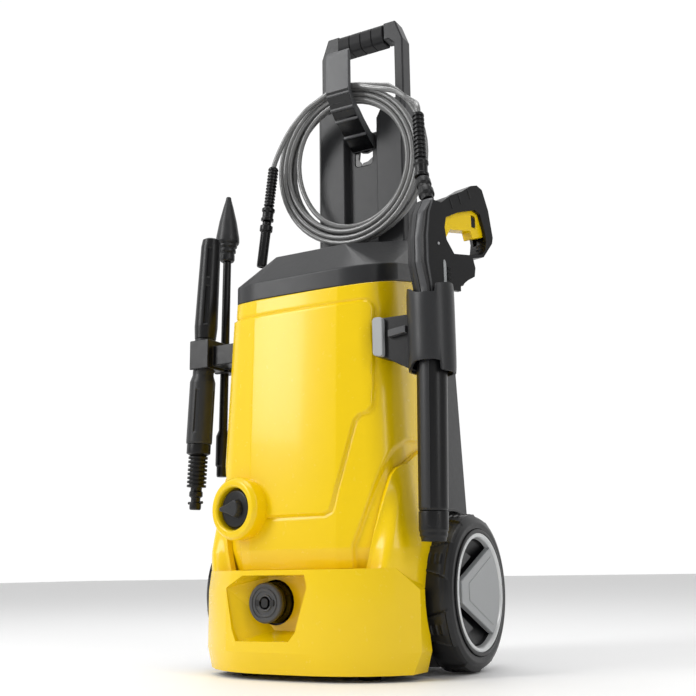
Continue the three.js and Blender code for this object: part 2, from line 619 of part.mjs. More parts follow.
// The point of a lance's axis at a height.
const along = (low, high, z) => low.clone().lerp(high, (z - low.z) / (high.z - low.z));
const lancePart = (low, high, stations) => turned(
  stations.map(([r, z]) => [r, along(low, high, z).distanceTo(along(low, high, stations[0][1]))]),
  along(low, high, stations[0][1]), high.clone().addScaledVector(high.clone().sub(low), 1), 24);
const vario = (stations) => lancePart(VARIO_LOW, VARIO_HIGH, stations);
const rotary = (stations) => lancePart(ROTARY_LOW, ROTARY_HIGH, stations);

function lanceClip() {
  const z0 = 372;
  const z1 = 410;
  const v = along(VARIO_LOW, VARIO_HIGH, 391);
  const r = along(ROTARY_LOW, ROTARY_HIGH, 391);
  const body = join(box(v.x - 10, v.y - 18, z0, v.x + 20, v.y + 18, z1),
    box(r.x - 8, r.y - 12, z0, r.x + 16, r.y + 10, z1),
    box(v.x + 14, 62, z0 + 4, -114, 106, z1 - 8));
  const lane = (p, radius) => join(rod(v3(p.x, p.y, 300), v3(p.x, p.y, 500), radius, radius, 24),
    box(p.x - 60, p.y - radius, 300, p.x, p.y + radius, 500));
  return cut(body, lane(v, 14.6), lane(r, 6.1), casing(200, 500, -GAP, 400));
}

// ---------------------------------------------------------------- high-pressure hose
const COIL_CENTRE = v3(-3.5, 165, 657);
const COIL_R = 113;
const COIL_BAND = 28;
const COIL_DEPTH = 15.5;
const COIL_TILT = 5;             // the coil leans forward at its top, degrees
const COIL_SAG = 1.018;          // the coil is this much taller than it is wide

function hoseCoil() {
  const half = [COIL_BAND / 2, COIL_DEPTH / 2];
  const profile = [[-1, -1], [1, -1], [1, 1], [-1, 1], [-1, -1]]
    .map(([a, b]) => [COIL_R - half[0] + a * half[0], b * half[1]]);
  return turned(profile, v3(0, 0, 0), v3(0, 1, 0), 48).scale([1, 1, COIL_SAG])
    .rotate([COIL_TILT, 0, 0]).translate(COIL_CENTRE.toArray());
}

// Hose from the coil's front face to the ribbed sleeve at the gun.
const GUN_SLEEVE_TOP = v3(151, 62, 652);
const GUN_SLEEVE_END = v3(157, 55, 566);
const GUN_RUN = [v3(50, 143.5, 748), v3(80, 138, 734), v3(100, 124, 716), v3(118, 105, 698),
  v3(134, 85.5, 682), v3(145, 70.5, 670), v3(150.2, 63, 660), v3(150.97, 62.03, 652.5)];
// Hose from the coil's front face to the ribbed sleeve at the free end.
const FREE_SLEEVE_TOP = v3(-111, 140, 667);
const FREE_SLEEVE_END = v3(-121.5, 140, 590);
const FREE_RUN = [v3(-47, 145, 750), v3(-66, 142.5, 736), v3(-85, 141, 716), v3(-99.6, 140, 692.4),
  v3(-108.7, 140, 674.3), v3(-110.9, 140, 668)];

function sleeve(from, to, hollow) {
  const length = from.distanceTo(to);
  const profile = [[0, 0], [6, 0]];
  const ribs = 5;
  for (let i = 0; i < ribs; i += 1) {
    const a = (length * (i + 0.25)) / ribs;
    const b = (length * (i + 0.75)) / ribs;
    profile.push([6, a], [7.6, a + 1], [7.6, b - 1], [6, b]);
  }
  profile.push([6.5, length], [0, length]);
  return turned(profile, from, to, 10);
}

function connector(from, to, stations) {
  const length = from.distanceTo(to);
  return turned([[0, 0], ...stations.map(([r, t]) => [r, t * length]), [0, length]], from, to, 16);
}

// ---------------------------------------------------------------- assembly
add('base_cover', baseCover(), 'yellow', 0.3);
add('front_cover', frontCover(), 'yellow', 0.3);
add('rear_cover', rearCover(), 'dark');
add('chassis', chassis(), 'black', 0.6);
add('top_lid', lid(), 'dark', 0.4);
add('back_panel', backPanel(), 'dark', 0.4);
add('hose_hook', hoseHook(), 'dark', 0.4);
add('handle_frame', handleFrame(), 'dark', 0.4);
add('handle_grip', handleGrip(), 'rubber', 0.7);
add('dial_bezel', dialBezel(), 'yellow', 0.3);
add('dial_knob', dialKnob(), 'black', 0.35);
add('outlet_coupling', outletCoupling(), 'dark', 0.4);
add('inlet_coupling', inletCoupling(), 'black', 0.5);
add('inlet_filter', inletFilter(), 'white', 0.6);
add('inlet_pipe', rod(v3(INLET_X, 134.3, INLET_Z), v3(INLET_X, BODY_BACK, INLET_Z), 6), 'black');
add('cable_gland', cableGland(), 'rubber', 0.8);

add('pump_head', pumpHead(), 'brass', 0.35, 1);
pistonPlaces().forEach(([x, y], i) => {
  add(`piston_${i + 1}`, rod(v3(x, y, 84), v3(x, y, 116), 6, 6, 12), 'steel', 0.2, 1);
});
add('pump_housing', pumpHousing(), 'steel', 0.5, 1);
add('wobble_plate', wobblePlate(), 'steel', 0.3, 1);
add('motor_housing', motorHousing(), 'steel', 0.5, 1);
add('motor_rotor', motorRotor(), 'copper', 0.5, 1);
add('cooling_fan', coolingFan(), 'black', 0.6);
add('start_capacitor', rod(v3(82, 96, 200), v3(82, 96, 270), 18, 18, 20), 'white', 0.5);
add('switch_box', box(-98, 40, 166, -56, 66, 210), 'white', 0.6);

add('axle', rod(v3(-WHEEL_IN - 38, AXLE_Y, WHEEL_R), v3(WHEEL_IN + 38, AXLE_Y, WHEEL_R), AXLE_R),
  'steel', 0.3, 1);
addWheel(1, 'right');
addWheel(-1, 'left');
[[1, 'right'], [-1, 'left']].forEach(([side, label]) => {
  add(`front_foot_${label}`, rod(v3(side * 78, 52, 0), v3(side * 78, 52, 8 - GAP), 12, 14, 16),
    'rubber', 0.9);
});

add('gun_holder', gunHolder(), 'dark', 0.45);
add('gun_bracket', gunBracket(), 'black', 0.5);
add('gun_body', gunBody(), 'black', 0.45);
add('gun_trigger', gunTrigger(), 'yellow', 0.35);
add('trigger_lock', triggerLock(), 'black', 0.5);
add('release_button', releaseButton(), 'black', 0.5);
add('gun_barrel', rod(BARREL_TOP, BARREL_END, 17.5, 16, 28), 'black', 0.4);
add('barrel_collar', barrelCollar(), 'black', 0.5);

add('lance_clip', lanceClip(), 'black', 0.5);
add('vario_bayonet', vario([[0, 194], [8, 194], [9, 215], [12, 222], [12, 262], [15, 264],
  [15, 277], [0, 277]]), 'black', 0.5);
add('vario_tube', vario([[0, 277.4], [16.5, 277.4], [16.5, 360], [13.4, 368], [13.4, 414],
  [0, 414]]), 'black', 0.5);
add('vario_nozzle', vario([[0, 414.4], [14, 414.4], [15, 430], [13.5, 540], [11, 551], [0, 551]]),
  'black', 0.5);
add('rotary_tube', rotary([[0, 237], [9, 237], [9, 296], [5.5, 302], [5.5, 528], [0, 528]]),
  'black', 0.5);
add('rotary_nozzle', rotary([[0, 528.4], [10, 528.4], [10, 541], [12, 543], [12, 552], [16, 554],
  [15.5, 562], [4, 618], [2, 622], [0, 622]]), 'dark', 0.4);

add('hose_coil', hoseCoil(), 'hose', 0.35);
add('hose_run_gun', tube(GUN_RUN, HOSE_D / 2, 8, 12), 'hose', 0.35);
add('hose_run_free', tube(FREE_RUN, HOSE_D / 2, 8, 10), 'hose', 0.35);
add('hose_sleeve_gun', sleeve(GUN_SLEEVE_TOP, GUN_SLEEVE_END), 'black', 0.5);
add('hose_sleeve_free', sleeve(FREE_SLEEVE_TOP, FREE_SLEEVE_END), 'black', 0.5);
add('hose_plug_gun', connector(GUN_SLEEVE_END.clone().lerp(gunPoint(0, 530.5), 0.08),
  gunPoint(0, 530.5), [[7, 0], [8.5, 0.2], [8.5, 0.4], [6.8, 0.45], [6.8, 1]]), 'black', 0.5);
add('hose_plug_free', connector(v3(-121.7, 140, 588.5), v3(-130.4, 140, 525),
  [[7, 0], [8.2, 0.15], [8.2, 0.3], [5.2, 0.35], [5.2, 0.9], [4.2, 1]]), 'black', 0.5);

// The origin is the middle of the machine's footprint, without the free hose and its fittings.
const footprint = new THREE.Box3();
group.children.filter((mesh) => !mesh.name.startsWith('hose_') || mesh.name === 'hose_hook')
  .forEach((mesh) => footprint.expandByObject(mesh));
const middle = footprint.getCenter(new THREE.Vector3());
group.position.set(-middle.x, -middle.y, 0);
group.updateMatrixWorld(true);

export default group;
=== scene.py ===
"""Looks of an upright electric pressure washer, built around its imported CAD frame.

Shapes are laid out in millimetres about the machine's symmetry plane, as the CAD source is, and
`place` turns them into metres in the row frame.
"""
import math

import bmesh
import bpy
import numpy as np
from mathutils import Matrix, Vector


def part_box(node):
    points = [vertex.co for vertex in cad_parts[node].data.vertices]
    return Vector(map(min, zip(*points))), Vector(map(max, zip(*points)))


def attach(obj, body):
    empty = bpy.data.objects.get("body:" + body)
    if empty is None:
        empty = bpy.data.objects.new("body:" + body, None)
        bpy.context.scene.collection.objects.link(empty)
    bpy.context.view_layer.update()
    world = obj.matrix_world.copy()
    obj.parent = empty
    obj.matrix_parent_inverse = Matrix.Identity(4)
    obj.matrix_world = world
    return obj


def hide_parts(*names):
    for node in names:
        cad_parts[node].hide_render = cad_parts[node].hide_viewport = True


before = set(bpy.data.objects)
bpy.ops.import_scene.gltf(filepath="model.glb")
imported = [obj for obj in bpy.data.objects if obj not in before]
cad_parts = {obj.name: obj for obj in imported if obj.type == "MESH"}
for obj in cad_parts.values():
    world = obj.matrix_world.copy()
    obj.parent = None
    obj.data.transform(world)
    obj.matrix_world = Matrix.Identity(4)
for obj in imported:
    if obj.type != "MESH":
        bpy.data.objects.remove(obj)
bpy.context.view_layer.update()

# ---------------------------------------------------------------- layout
MM = 0.001
HANDLE_FRONT = 197.5             # layout y of the handle's front face
LOW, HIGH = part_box("handle_frame")
SHIFT = np.array([(LOW[0] + HIGH[0]) / 2, LOW[1] - HANDLE_FRONT * MM, 0.0])

BASE_TOP = 118.0
LID_FRONT = 441.0
HALF_LOW = 127.0                 # half width and front of the casing, at the base
HALF_HIGH = 112.0                # and at the lid
FRONT_LOW = 16.0
FRONT_HIGH = 25.5
BAND_Z = 140.0
BAND_TUCK = 0.25
CORNER = 45.0
FLAT_HALF = 58.0
FACET = math.radians(17)
CROWN = 2.4                      # how far the flat middle of the front bulges
SPLIT_Y = 135.7
AXLE_Y = 160.0
WHEEL_R = 89.65
WHEEL_IN = 119.0                 # layout x of the wheel's inner face
DIAL = np.array([-72.0, 0.0, 188.0])
DIAL_TURN = math.radians(9)
GUN_TURN = math.radians(15)
GUN = np.array([170.0, 42.0, 0.0])
HOSE_D = 7.0


def place(points):
    """Layout millimetres to row-frame metres."""
    return np.asarray(points, float) * MM + SHIFT


def rise(z):
    return (np.asarray(z, float) - BASE_TOP) / (LID_FRONT - BASE_TOP)


def body_half(z):
    return HALF_LOW + (HALF_HIGH - HALF_LOW) * rise(z)


def body_front(z):
    return FRONT_LOW + (FRONT_HIGH - FRONT_LOW) * rise(z)


def lid_edge(y):
    return LID_FRONT + 0.22 * (y - FRONT_HIGH)


def smooth(t):
    t = np.clip(t, 0.0, 1.0)
    return t * t * (3 - 2 * t)


# ---------------------------------------------------------------- materials
def material(name, colour, rough, grain=0.0, grain_mm=0.6, metallic=0.0, coat=0.0,
             uneven=0.05, shade=0.04, ior=1.5):
    """A moulded or metal surface: fine grain, uneven roughness and a slight tone variation."""
    mat = bpy.data.materials.new(name)
    mat.use_nodes = True
    nodes, links = mat.node_tree.nodes, mat.node_tree.links
    shader = nodes["Principled BSDF"]
    shader.inputs["Metallic"].default_value = metallic
    shader.inputs["IOR"].default_value = ior
    shader.inputs["Coat Weight"].default_value = coat
    shader.inputs["Coat Roughness"].default_value = 0.08
    coords = nodes.new("ShaderNodeTexCoord")

    def noise(size_mm, detail):
        node = nodes.new("ShaderNodeTexNoise")
        node.inputs["Scale"].default_value = 1000.0 / size_mm
        node.inputs["Detail"].default_value = detail
        links.new(coords.outputs["Object"], node.inputs["Vector"])
        return node.outputs["Fac"]

    broad = noise(45.0, 3.0)
    tone = nodes.new("ShaderNodeMix")
    tone.data_type = "RGBA"
    tone.inputs["A"].default_value = (*[c * (1 - shade) for c in colour], 1)
    tone.inputs["B"].default_value = (*[min(1.0, c * (1 + shade)) for c in colour], 1)
    links.new(broad, tone.inputs["Factor"])
    links.new(tone.outputs["Result"], shader.inputs["Base Color"])
    spread = nodes.new("ShaderNodeMapRange")
    spread.inputs["To Min"].default_value = max(0.02, rough - uneven)
    spread.inputs["To Max"].default_value = rough + uneven
    links.new(noise(6.0, 4.0), spread.inputs["Value"])
    links.new(spread.outputs["Result"], shader.inputs["Roughness"])
    if grain:
        bump = nodes.new("ShaderNodeBump")
        bump.inputs["Strength"].default_value = grain
        bump.inputs["Distance"].default_value = 0.0002
        links.new(noise(grain_mm, 2.0), bump.inputs["Height"])
        links.new(bump.outputs["Normal"], shader.inputs["Normal"])
    return mat


YELLOW = material("yellow_gloss", (0.88, 0.60, 0.0005), 0.26, 0.03, 4.0, ior=1.42, coat=0.15, uneven=0.04,
                  shade=0.02)
GREY = material("satin_grey", (0.022, 0.0225, 0.024), 0.38, 0.16, 0.5, uneven=0.06,
                ior=1.42)
LIGHT_GREY = material("light_satin_grey", (0.060, 0.061, 0.064), 0.34, 0.14, 0.5, uneven=0.06,
                      ior=1.45)
BLACK = material("satin_black", (0.005, 0.005, 0.0056), 0.33, 0.16, 0.5, uneven=0.07,
                 ior=1.4)
GLOSS_BLACK = material("gloss_black", (0.003, 0.003, 0.0035), 0.14, 0.04, 0.7, ior=1.42)
GRIP = material("soft_grip", (0.008, 0.008, 0.009), 0.6, 0.5, 0.45, ior=1.4)
TYRE = material("tyre_plastic", (0.008, 0.008, 0.0085), 0.36, 0.3, 0.6, uneven=0.08,
                ior=1.42)
CAP = material("cap_grey", (0.33, 0.34, 0.345), 0.34, 0.12, 0.5, uneven=0.05)
RING = material("ring_silver", (0.66, 0.67, 0.67), 0.3, 0.08, 0.5, metallic=0.35)
HOSE = material("hose_sheath", (0.165, 0.165, 0.163), 0.22, 0.12, 1.2, coat=0.6, uneven=0.05,
                shade=0.06)
STEEL = material("turned_steel", (0.62, 0.62, 0.63), 0.28, 0.2, 0.3, metallic=1.0)
ALLOY = material("cast_alloy", (0.55, 0.55, 0.56), 0.5, 0.7, 0.9, metallic=1.0)
COPPER = material("motor_core", (0.42, 0.25, 0.14), 0.45, 0.4, 0.8, metallic=1.0)
BRASS = material("pump_brass", (0.62, 0.46, 0.18), 0.35, 0.4, 0.8, metallic=1.0)
WHITE = material("white_plastic", (0.62, 0.62, 0.58), 0.4, 0.2, 0.6)
# painted shade: a matte deep black for plates that stand in for the shade inside notches, slots, grooves
# and windows
RECESS_SHADE_BLACK = material("painted_recess_shade", (0.004, 0.004, 0.0045), 0.5, 0.2, 0.6)


# ---------------------------------------------------------------- mesh tools
def finish_mesh(obj, angle, bevel, segments):
    mesh = obj.data
    mesh.shade_smooth()
    mesh.set_sharp_from_angle(angle=math.radians(angle))
    if bevel:
        edge = obj.modifiers.new("edges", "BEVEL")
        edge.width = bevel * MM
        edge.segments = segments
        edge.limit_method = "ANGLE"
        edge.angle_limit = math.radians(32)
        edge.use_clamp_overlap = True
        edge.harden_normals = False
        even = obj.modifiers.new("shading", "WEIGHTED_NORMAL")
        even.keep_sharp = True


def piece(name, points, faces, body, mat, nodes=(), slot=None, angle=32, bevel=0.0, segments=3,
          outward=True):
    mesh = bpy.data.meshes.new(name)
    mesh.from_pydata([tuple(p) for p in place(points)], [], [tuple(f) for f in faces])
    work = bmesh.new()
    work.from_mesh(mesh)
    bmesh.ops.remove_doubles(work, verts=work.verts, dist=1e-6)
    if outward:
        bmesh.ops.recalc_face_normals(work, faces=work.faces)
    work.to_mesh(mesh)
    work.free()
    obj = bpy.data.objects.new(name, mesh)
    bpy.context.scene.collection.objects.link(obj)
    return dress(obj, body, mat, nodes, angle, bevel, segments)


def dress(obj, body, mat, nodes, angle, bevel, segments):
    obj.data.materials.clear()
    obj.data.materials.append(mat)
    finish_mesh(obj, angle, bevel, segments)
    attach(obj, body)
    if nodes:
        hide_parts(*nodes)
    return obj


def from_frame(node, mat, bevel=0.8, segments=3, angle=32, body="machine", keep=None):
    """A fine copy of a CAD node: flat faces merged, edges rounded and shading smoothed."""
    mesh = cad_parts[node].data.copy()
    work = bmesh.new()
    work.from_mesh(mesh)
    bmesh.ops.remove_doubles(work, verts=work.verts, dist=2e-5)
    bmesh.ops.dissolve_limit(work, angle_limit=math.radians(0.6), verts=work.verts,
                             edges=work.edges)
    if keep:
        keep(work)
    work.to_mesh(mesh)
    work.free()
    obj = bpy.data.objects.new(f"{node}_shell", mesh)
    bpy.context.scene.collection.objects.link(obj)
    return dress(obj, body, mat, (node,), angle, bevel, segments)


def fillet(points, radius, steps=4, closed=False):
    """Rounds the corners of an outline with arcs of about this radius."""
    pts = [np.array(p, float) for p in points]
    out = []
    count = len(pts)
    for i, p in enumerate(pts):
        if not closed and i in (0, count - 1):
            out.append(p)
            continue
        a, b = pts[i - 1] - p, pts[(i + 1) % count] - p
        la, lb = np.linalg.norm(a), np.linalg.norm(b)
        reach = min(radius, la * 0.45, lb * 0.45)
        start, end = p + a / la * reach, p + b / lb * reach
        for k in range(steps + 1):
            t = k / steps
            out.append((1 - t) ** 2 * start + 2 * t * (1 - t) * p + t * t * end)
    return out


def grid_faces(rows, cols, wrap=False):
    faces = []
    for r in range(rows - 1):
        for c in range(cols if wrap else cols - 1):
            d = (c + 1) % cols
            faces.append((r * cols + c, r * cols + d, (r + 1) * cols + d, (r + 1) * cols + c))
    return faces


def axis_frame(start, end):
    axis = (end - start) / np.linalg.norm(end - start)
    side = np.cross(axis, [0, 1, 0] if abs(axis[1]) < 0.9 else [1, 0, 0])
    side /= np.linalg.norm(side)
    return axis, side, np.cross(axis, side)


def lathe(name, profile, start, end, body, mat, nodes=(), slot=None, sides=64, radius=1.2,
          relief=None, **more):
    """Turns (radius, height) points about the axis from start to end. relief(angle, height)
    gives a small offset of the radius."""
    start, end = np.array(start, float), np.array(end, float)
    axis, side, other = axis_frame(start, end)
    outline = fillet(profile, radius) if radius else [np.array(p, float) for p in profile]
    angles = np.linspace(0, 2 * math.pi, sides, endpoint=False)
    points = []
    for r, h in outline:
        rr = r + (relief(angles, h) if relief and r > 0.5 else 0 * angles)
        ring = start + axis * h + np.outer(rr * np.cos(angles), side) \
            + np.outer(rr * np.sin(angles), other)
        points.extend(ring)
    return piece(name, points, grid_faces(len(outline), sides, True), body, mat, nodes, slot,
                 **more)


def prism(name, outline, to_point, depth, body, mat, nodes=(), slot=None, round_by=0.0, **more):
    """An outline swept through a depth: to_point(a, b, d) gives the layout point."""
    ring = fillet(outline, round_by, 3, True) if round_by else outline
    low, high = depth
    count = len(ring)
    points = [to_point(a, b, low) for a, b in ring] + [to_point(a, b, high) for a, b in ring]
    faces = [(i, (i + 1) % count, count + (i + 1) % count, count + i) for i in range(count)]
    faces.append(tuple(range(count)))
    faces.append(tuple(range(2 * count - 1, count - 1, -1)))
    return piece(name, points, faces, body, mat, nodes, slot, **more)


def facing_front(x, z, y):
    return (x, y, z)


def facing_side(y, z, x):
    return (x, y, z)


def outline_distance(points, x, z):
    """Signed distance to a closed outline, positive inside."""
    pts = np.array(points, float)
    nxt = np.roll(pts, -1, axis=0)
    best = np.full(x.shape, 1e9)
    inside = np.zeros(x.shape, bool)
    for (ax, az), (bx, bz) in zip(pts, nxt):
        ex, ez = bx - ax, bz - az
        t = np.clip(((x - ax) * ex + (z - az) * ez) / (ex * ex + ez * ez), 0, 1)
        best = np.minimum(best, np.hypot(x - ax - t * ex, z - az - t * ez))
        if az != bz:
            crosses = ((az > z) != (bz > z)) & (x < (bx - ax) * (z - az) / (bz - az) + ax)
            inside ^= crosses
    return np.where(inside, best, -best)


# ---------------------------------------------------------------- camera
LENS = 51.2
SENSOR = 36.0
CAMERA_SHIFT = -0.0247
CAMERA_SPOT = [622.13, -936.2, 117.03]
YAW = math.radians(28.80)
PITCH = math.radians(12.61)
ROLL = math.radians(-0.93)


def add_camera():
    spot = place(CAMERA_SPOT)
    right = Vector((math.cos(YAW), math.sin(YAW), 0))
    level = Vector((-math.sin(YAW), math.cos(YAW), 0))
    forward = math.cos(PITCH) * level + math.sin(PITCH) * Vector((0, 0, 1))
    top = -math.sin(PITCH) * level + math.cos(PITCH) * Vector((0, 0, 1))
    across = math.cos(ROLL) * right + math.sin(ROLL) * top
    upward = -math.sin(ROLL) * right + math.cos(ROLL) * top
    data = bpy.data.cameras.new("camera")
    data.lens = LENS
    data.sensor_width = SENSOR
    data.shift_x = CAMERA_SHIFT
    camera = bpy.data.objects.new("camera", data)
    turn = Matrix((across, upward, -forward)).transposed()
    camera.matrix_world = Matrix.Translation(spot) @ turn.to_4x4()
    bpy.context.scene.collection.objects.link(camera)
    bpy.context.scene.camera = camera


add_camera()


# ---------------------------------------------------------------- hose
COIL = np.array([-3.5, 165.0, 657.0])
COIL_SAG = 1.018                 # how much taller than wide the coil hangs
COIL_LEAN = math.radians(5)
COIL_START = math.radians(59.6)
COIL_END = math.radians(115)
COIL_TURNS = 7 + (COIL_END - COIL_START) / (2 * math.pi)
FRONT_OUTER = 109.0              # radius of the first strand of the front layer
BACK_INNER = 86.5                # and of the first strand of the back layer
PITCH_IN = 7.0
PITCH_OUT = 7.05
TURN_ONE = 0.25                  # turns after which the front layer winds inwards
TURN_BACK = 3.75                 # and the back layer winds outwards
LAYER = 3.8                      # depth of a layer from the middle of the coil
ENTRY_RADIUS = 104.5
EXIT_RADIUS = 117.0
LAST_RADIUS = 101.5
ENTRY_DIVE = 7.4
EXIT_RISE = 15.0
LOOSE = 10.0                     # how far one inner strand hangs inwards on the left
GUN_RUN = [(50, 143.5, 748), (80, 138, 734), (100, 124, 716), (118, 105, 698),
           (134, 85.5, 682), (145, 70.5, 670), (150.2, 63, 660), (150.97, 62.03, 652.5)]
FREE_RUN = [(-47, 145, 750), (-66, 142.5, 736), (-85, 141, 716), (-99.6, 140, 692.4),
            (-108.7, 140, 674.3), (-110.9, 140, 668)]


def on_coil(angle, radius, depth):
    """A point of the leaning coil; depth runs back from its middle."""
    x = radius * math.cos(angle)
    up = radius * math.sin(angle) * COIL_SAG
    return COIL + np.array([
        x, depth * math.cos(COIL_LEAN) - up * math.sin(COIL_LEAN),
        up * math.cos(COIL_LEAN) + depth * math.sin(COIL_LEAN)])


def coil_points():
    """Turns inwards through the front layer, then outwards through the back one."""
    points = []
    steps = int(COIL_TURNS * 52)
    for i in range(1, steps):
        t = COIL_TURNS * i / steps
        angle = COIL_START + 2 * math.pi * t
        inward = FRONT_OUTER - PITCH_IN * (t - TURN_ONE)
        outward = BACK_INNER + PITCH_OUT * (t - TURN_BACK)
        swap = float(smooth((t - 3.45) / 0.3))
        radius = inward * (1 - swap) + outward * swap
        radius = radius + (ENTRY_RADIUS - radius) * float(smooth((TURN_ONE - t) / TURN_ONE))
        left = COIL_TURNS - t
        radius = radius + (EXIT_RADIUS - radius) * float(smooth((0.55 - left) / 0.3))
        radius = radius + (LAST_RADIUS - radius) * float(smooth((0.2 - left) / 0.2))
        depth = LAYER * (2 * swap - 1) - ENTRY_DIVE * float(smooth((0.2 - t) / 0.2))
        depth -= EXIT_RISE * float(smooth((0.45 - left) / 0.4))
        loose = math.exp(-((math.degrees(angle) % 360 - 195) / 58) ** 2)
        radius -= LOOSE * loose * float(smooth((t - 2.3) / 0.5)) * float(smooth((3.7 - t) / 0.3))
        points.append(on_coil(angle, radius, depth))
    return points


def through(points, step=4.0):
    """A smooth curve through a few points, at about this spacing."""
    pts = [np.array(p, float) for p in points]
    pts = [2 * pts[0] - pts[1], *pts, 2 * pts[-1] - pts[-2]]
    out = []
    for a, b, c, d in zip(pts, pts[1:], pts[2:], pts[3:]):
        count = max(2, int(np.linalg.norm(c - b) / step))
        for k in range(count):
            t = k / count
            out.append(0.5 * (2 * b + (c - a) * t + (2 * a - 5 * b + 4 * c - d) * t ** 2
                              + (3 * b - a - 3 * c + d) * t ** 3))
    out.append(pts[-2])
    return out


def add_hose():
    coil = coil_points()
    start = through(list(reversed(GUN_RUN)) + [coil[3], coil[8]])
    end = through([coil[-9], coil[-4], *FREE_RUN])
    middle = coil[9:-9]
    route = [*start, *middle, *end]
    curve = bpy.data.curves.new("hose", "CURVE")
    curve.dimensions = "3D"
    curve.bevel_depth = HOSE_D / 2 * MM
    curve.bevel_resolution = 5
    spline = curve.splines.new("POLY")
    spline.points.add(len(route) - 1)
    placed = place(route)
    for point, p in zip(spline.points, placed):
        point.co = (*p, 1)
    curve.materials.append(HOSE)
    hose = bpy.data.objects.new("hose", curve)
    bpy.context.scene.collection.objects.link(hose)
    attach(hose, "machine")
    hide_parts("hose_coil", "hose_run_gun", "hose_run_free")
    return hose, tuple(placed[0])


def add_sleeve(name, start, end, nodes, rings):
    """A slotted bend protector that ends in a collar."""
    start, end = np.array(start, float), np.array(end, float)
    length = np.linalg.norm(end - start)
    ribbed = length * 0.74
    profile = [(3.7, 0), (5.4, 0), (6.3, 1.2)]
    for i in range(rings):
        a = 2 + (ribbed - 2) * i / rings
        b = 2 + (ribbed - 2) * (i + 0.62) / rings
        profile += [(5.3, a), (7.2, a + 0.5), (7.2, b - 0.4), (5.3, b)]
    profile += [(7.2, ribbed + 1), (9.0, ribbed + 2.5), (9.0, ribbed + 6), (7.6, ribbed + 8),
                (7.6, length - 5), (8.8, length - 4), (8.8, length - 0.5), (6, length)]
    return lathe(name, profile, start, end, "machine", BLACK, nodes, "black_plastic", 40, 0.3)


HOSE_PIECE, HOSE_EXIT = add_hose()
SLEEVE_GUN = add_sleeve("bend_protector_gun", (151, 62, 652), (157, 55, 566),
                        ("hose_sleeve_gun",), 11)
SLEEVE_FREE = add_sleeve("bend_protector_free", (-111, 140, 667), (-121.5, 140, 590),
                         ("hose_sleeve_free",), 12)


def add_plug(name, start, end, profile, node):
    start, end = np.array(start, float), np.array(end, float)
    length = np.linalg.norm(end - start)
    return lathe(name, [(r, t * length) for r, t in profile], start, end, "machine", BLACK,
                 (node,), "black_plastic", 48, 0.8)


GUN_PLUG_TOP = np.array([157, 55, 566.0]) * 0.92 + np.array([170, 42, 530.5]) * 0.08
PLUG_GUN = add_plug("plug_gun", GUN_PLUG_TOP, (170, 42, 530.5), [
    (0, 0), (7, 0), (9, 0.1), (9, 0.32), (7.2, 0.36), (7.2, 0.5), (9.4, 0.56), (9.4, 0.78),
    (7, 0.84), (7, 1), (0, 1)], "hose_plug_gun")
PLUG_FREE = add_plug("plug_free", (-121.7, 140, 588.5), (-130.4, 140, 525), [
    (0, 0), (6.2, 0), (6.2, 0.06), (8.9, 0.08), (8.9, 0.2), (6.9, 0.22), (6.9, 0.97),
    (6, 1), (3.6, 1), (3.6, 0.8), (0, 0.8)], "hose_plug_free")


# ---------------------------------------------------------------- yellow shells
PANEL_EDGE = [(98, 300), (97, 296), (93, 290), (83, 286.5), (78, 281), (75.5, 273), (54, 190),
              (50.5, 181), (43, 177.5)]


def plan_columns(right_only=False):
    """Stations of the casing's plan outline, each as (kind, share along it)."""
    side = [("side", t) for t in np.linspace(1, 0, 18, endpoint=False)]
    arc = [("arc", t) for t in np.linspace(1, 0, 30, endpoint=False)]
    facet = [("facet", t) for t in np.linspace(1, 0, 26, endpoint=False)]
    half = side + arc + facet
    flat = [("flat", t) for t in np.linspace(-1, 1, 79)]
    left = [(kind, t, -1) for kind, t in half]
    middle = [(kind, t, 1) for kind, t in flat]
    right = [(kind, t, 1) for kind, t in reversed(half)]
    return right if right_only else left + middle + right


def plan_point(kind, t, sign, half, front, back):
    """(x, y, normal x, normal y) of a station of the plan outline."""
    arc_x = half - CORNER
    facet_y = front + (arc_x - FLAT_HALF) * math.tan(FACET)
    arc_y = facet_y + CORNER * (math.cos(FACET) + math.sin(FACET) * math.tan(FACET))
    if kind == "flat":
        x = t * FLAT_HALF
        return x, front - CROWN * (1 - t * t), 2 * CROWN * t / FLAT_HALF, -1.0
    if kind == "facet":
        end = arc_x + CORNER * math.sin(FACET)
        x = FLAT_HALF + (end - FLAT_HALF) * t
        return sign * x, front + (x - FLAT_HALF) * math.tan(FACET), \
            sign * math.sin(FACET), -math.cos(FACET)
    if kind == "arc":
        a = -math.pi / 2 + FACET + (math.pi / 2 - FACET) * t
        return sign * (arc_x + CORNER * math.cos(a)), arc_y + CORNER * math.sin(a), \
            sign * math.cos(a), math.sin(a)
    return sign * half, arc_y + (back - arc_y) * t, sign * 1.0, 0.0


def panel_relief(x, y, z):
    """The raised middle panel, the step round the cheeks and the notch for the gun's bracket."""
    top = lid_edge(y) - 21
    right = [(98, 600), *PANEL_EDGE, (-300, 177.5), (-300, 600)]
    across = outline_distance(right, x, z)
    inside = np.minimum(across, top - z)
    corner = np.hypot(np.maximum(0, 12 - across), np.maximum(0, 12 - (top - z)))
    inside = np.where((across < 12) & (top - z < 12), 12 - corner, inside)
    raised = 2.6 * smooth((inside + 0.2) / 2.4) - 1.1 * np.exp(-((inside + 1.4) / 1.3) ** 2)
    step = outline_distance(CHEEK_STEP, np.abs(x) + np.maximum(0, y - 60) * 0.12, z)
    sunk = -4.5 * smooth((step + 0.3) / 5.5)
    notch = np.minimum(np.minimum(y - 38, 399 + (y - 41) * 0.1 - z), z - 361 + (y - 37) * 0.3)
    hollow = -3.2 * smooth((notch + 0.5) / 3.0) * (x > 0)
    return raised + sunk + hollow


CHEEK_STEP = [(72.5, 100), (74, 143), (108, 238), (113, 249), (121, 262), (140, 276),
              (240, 330), (240, 100)]


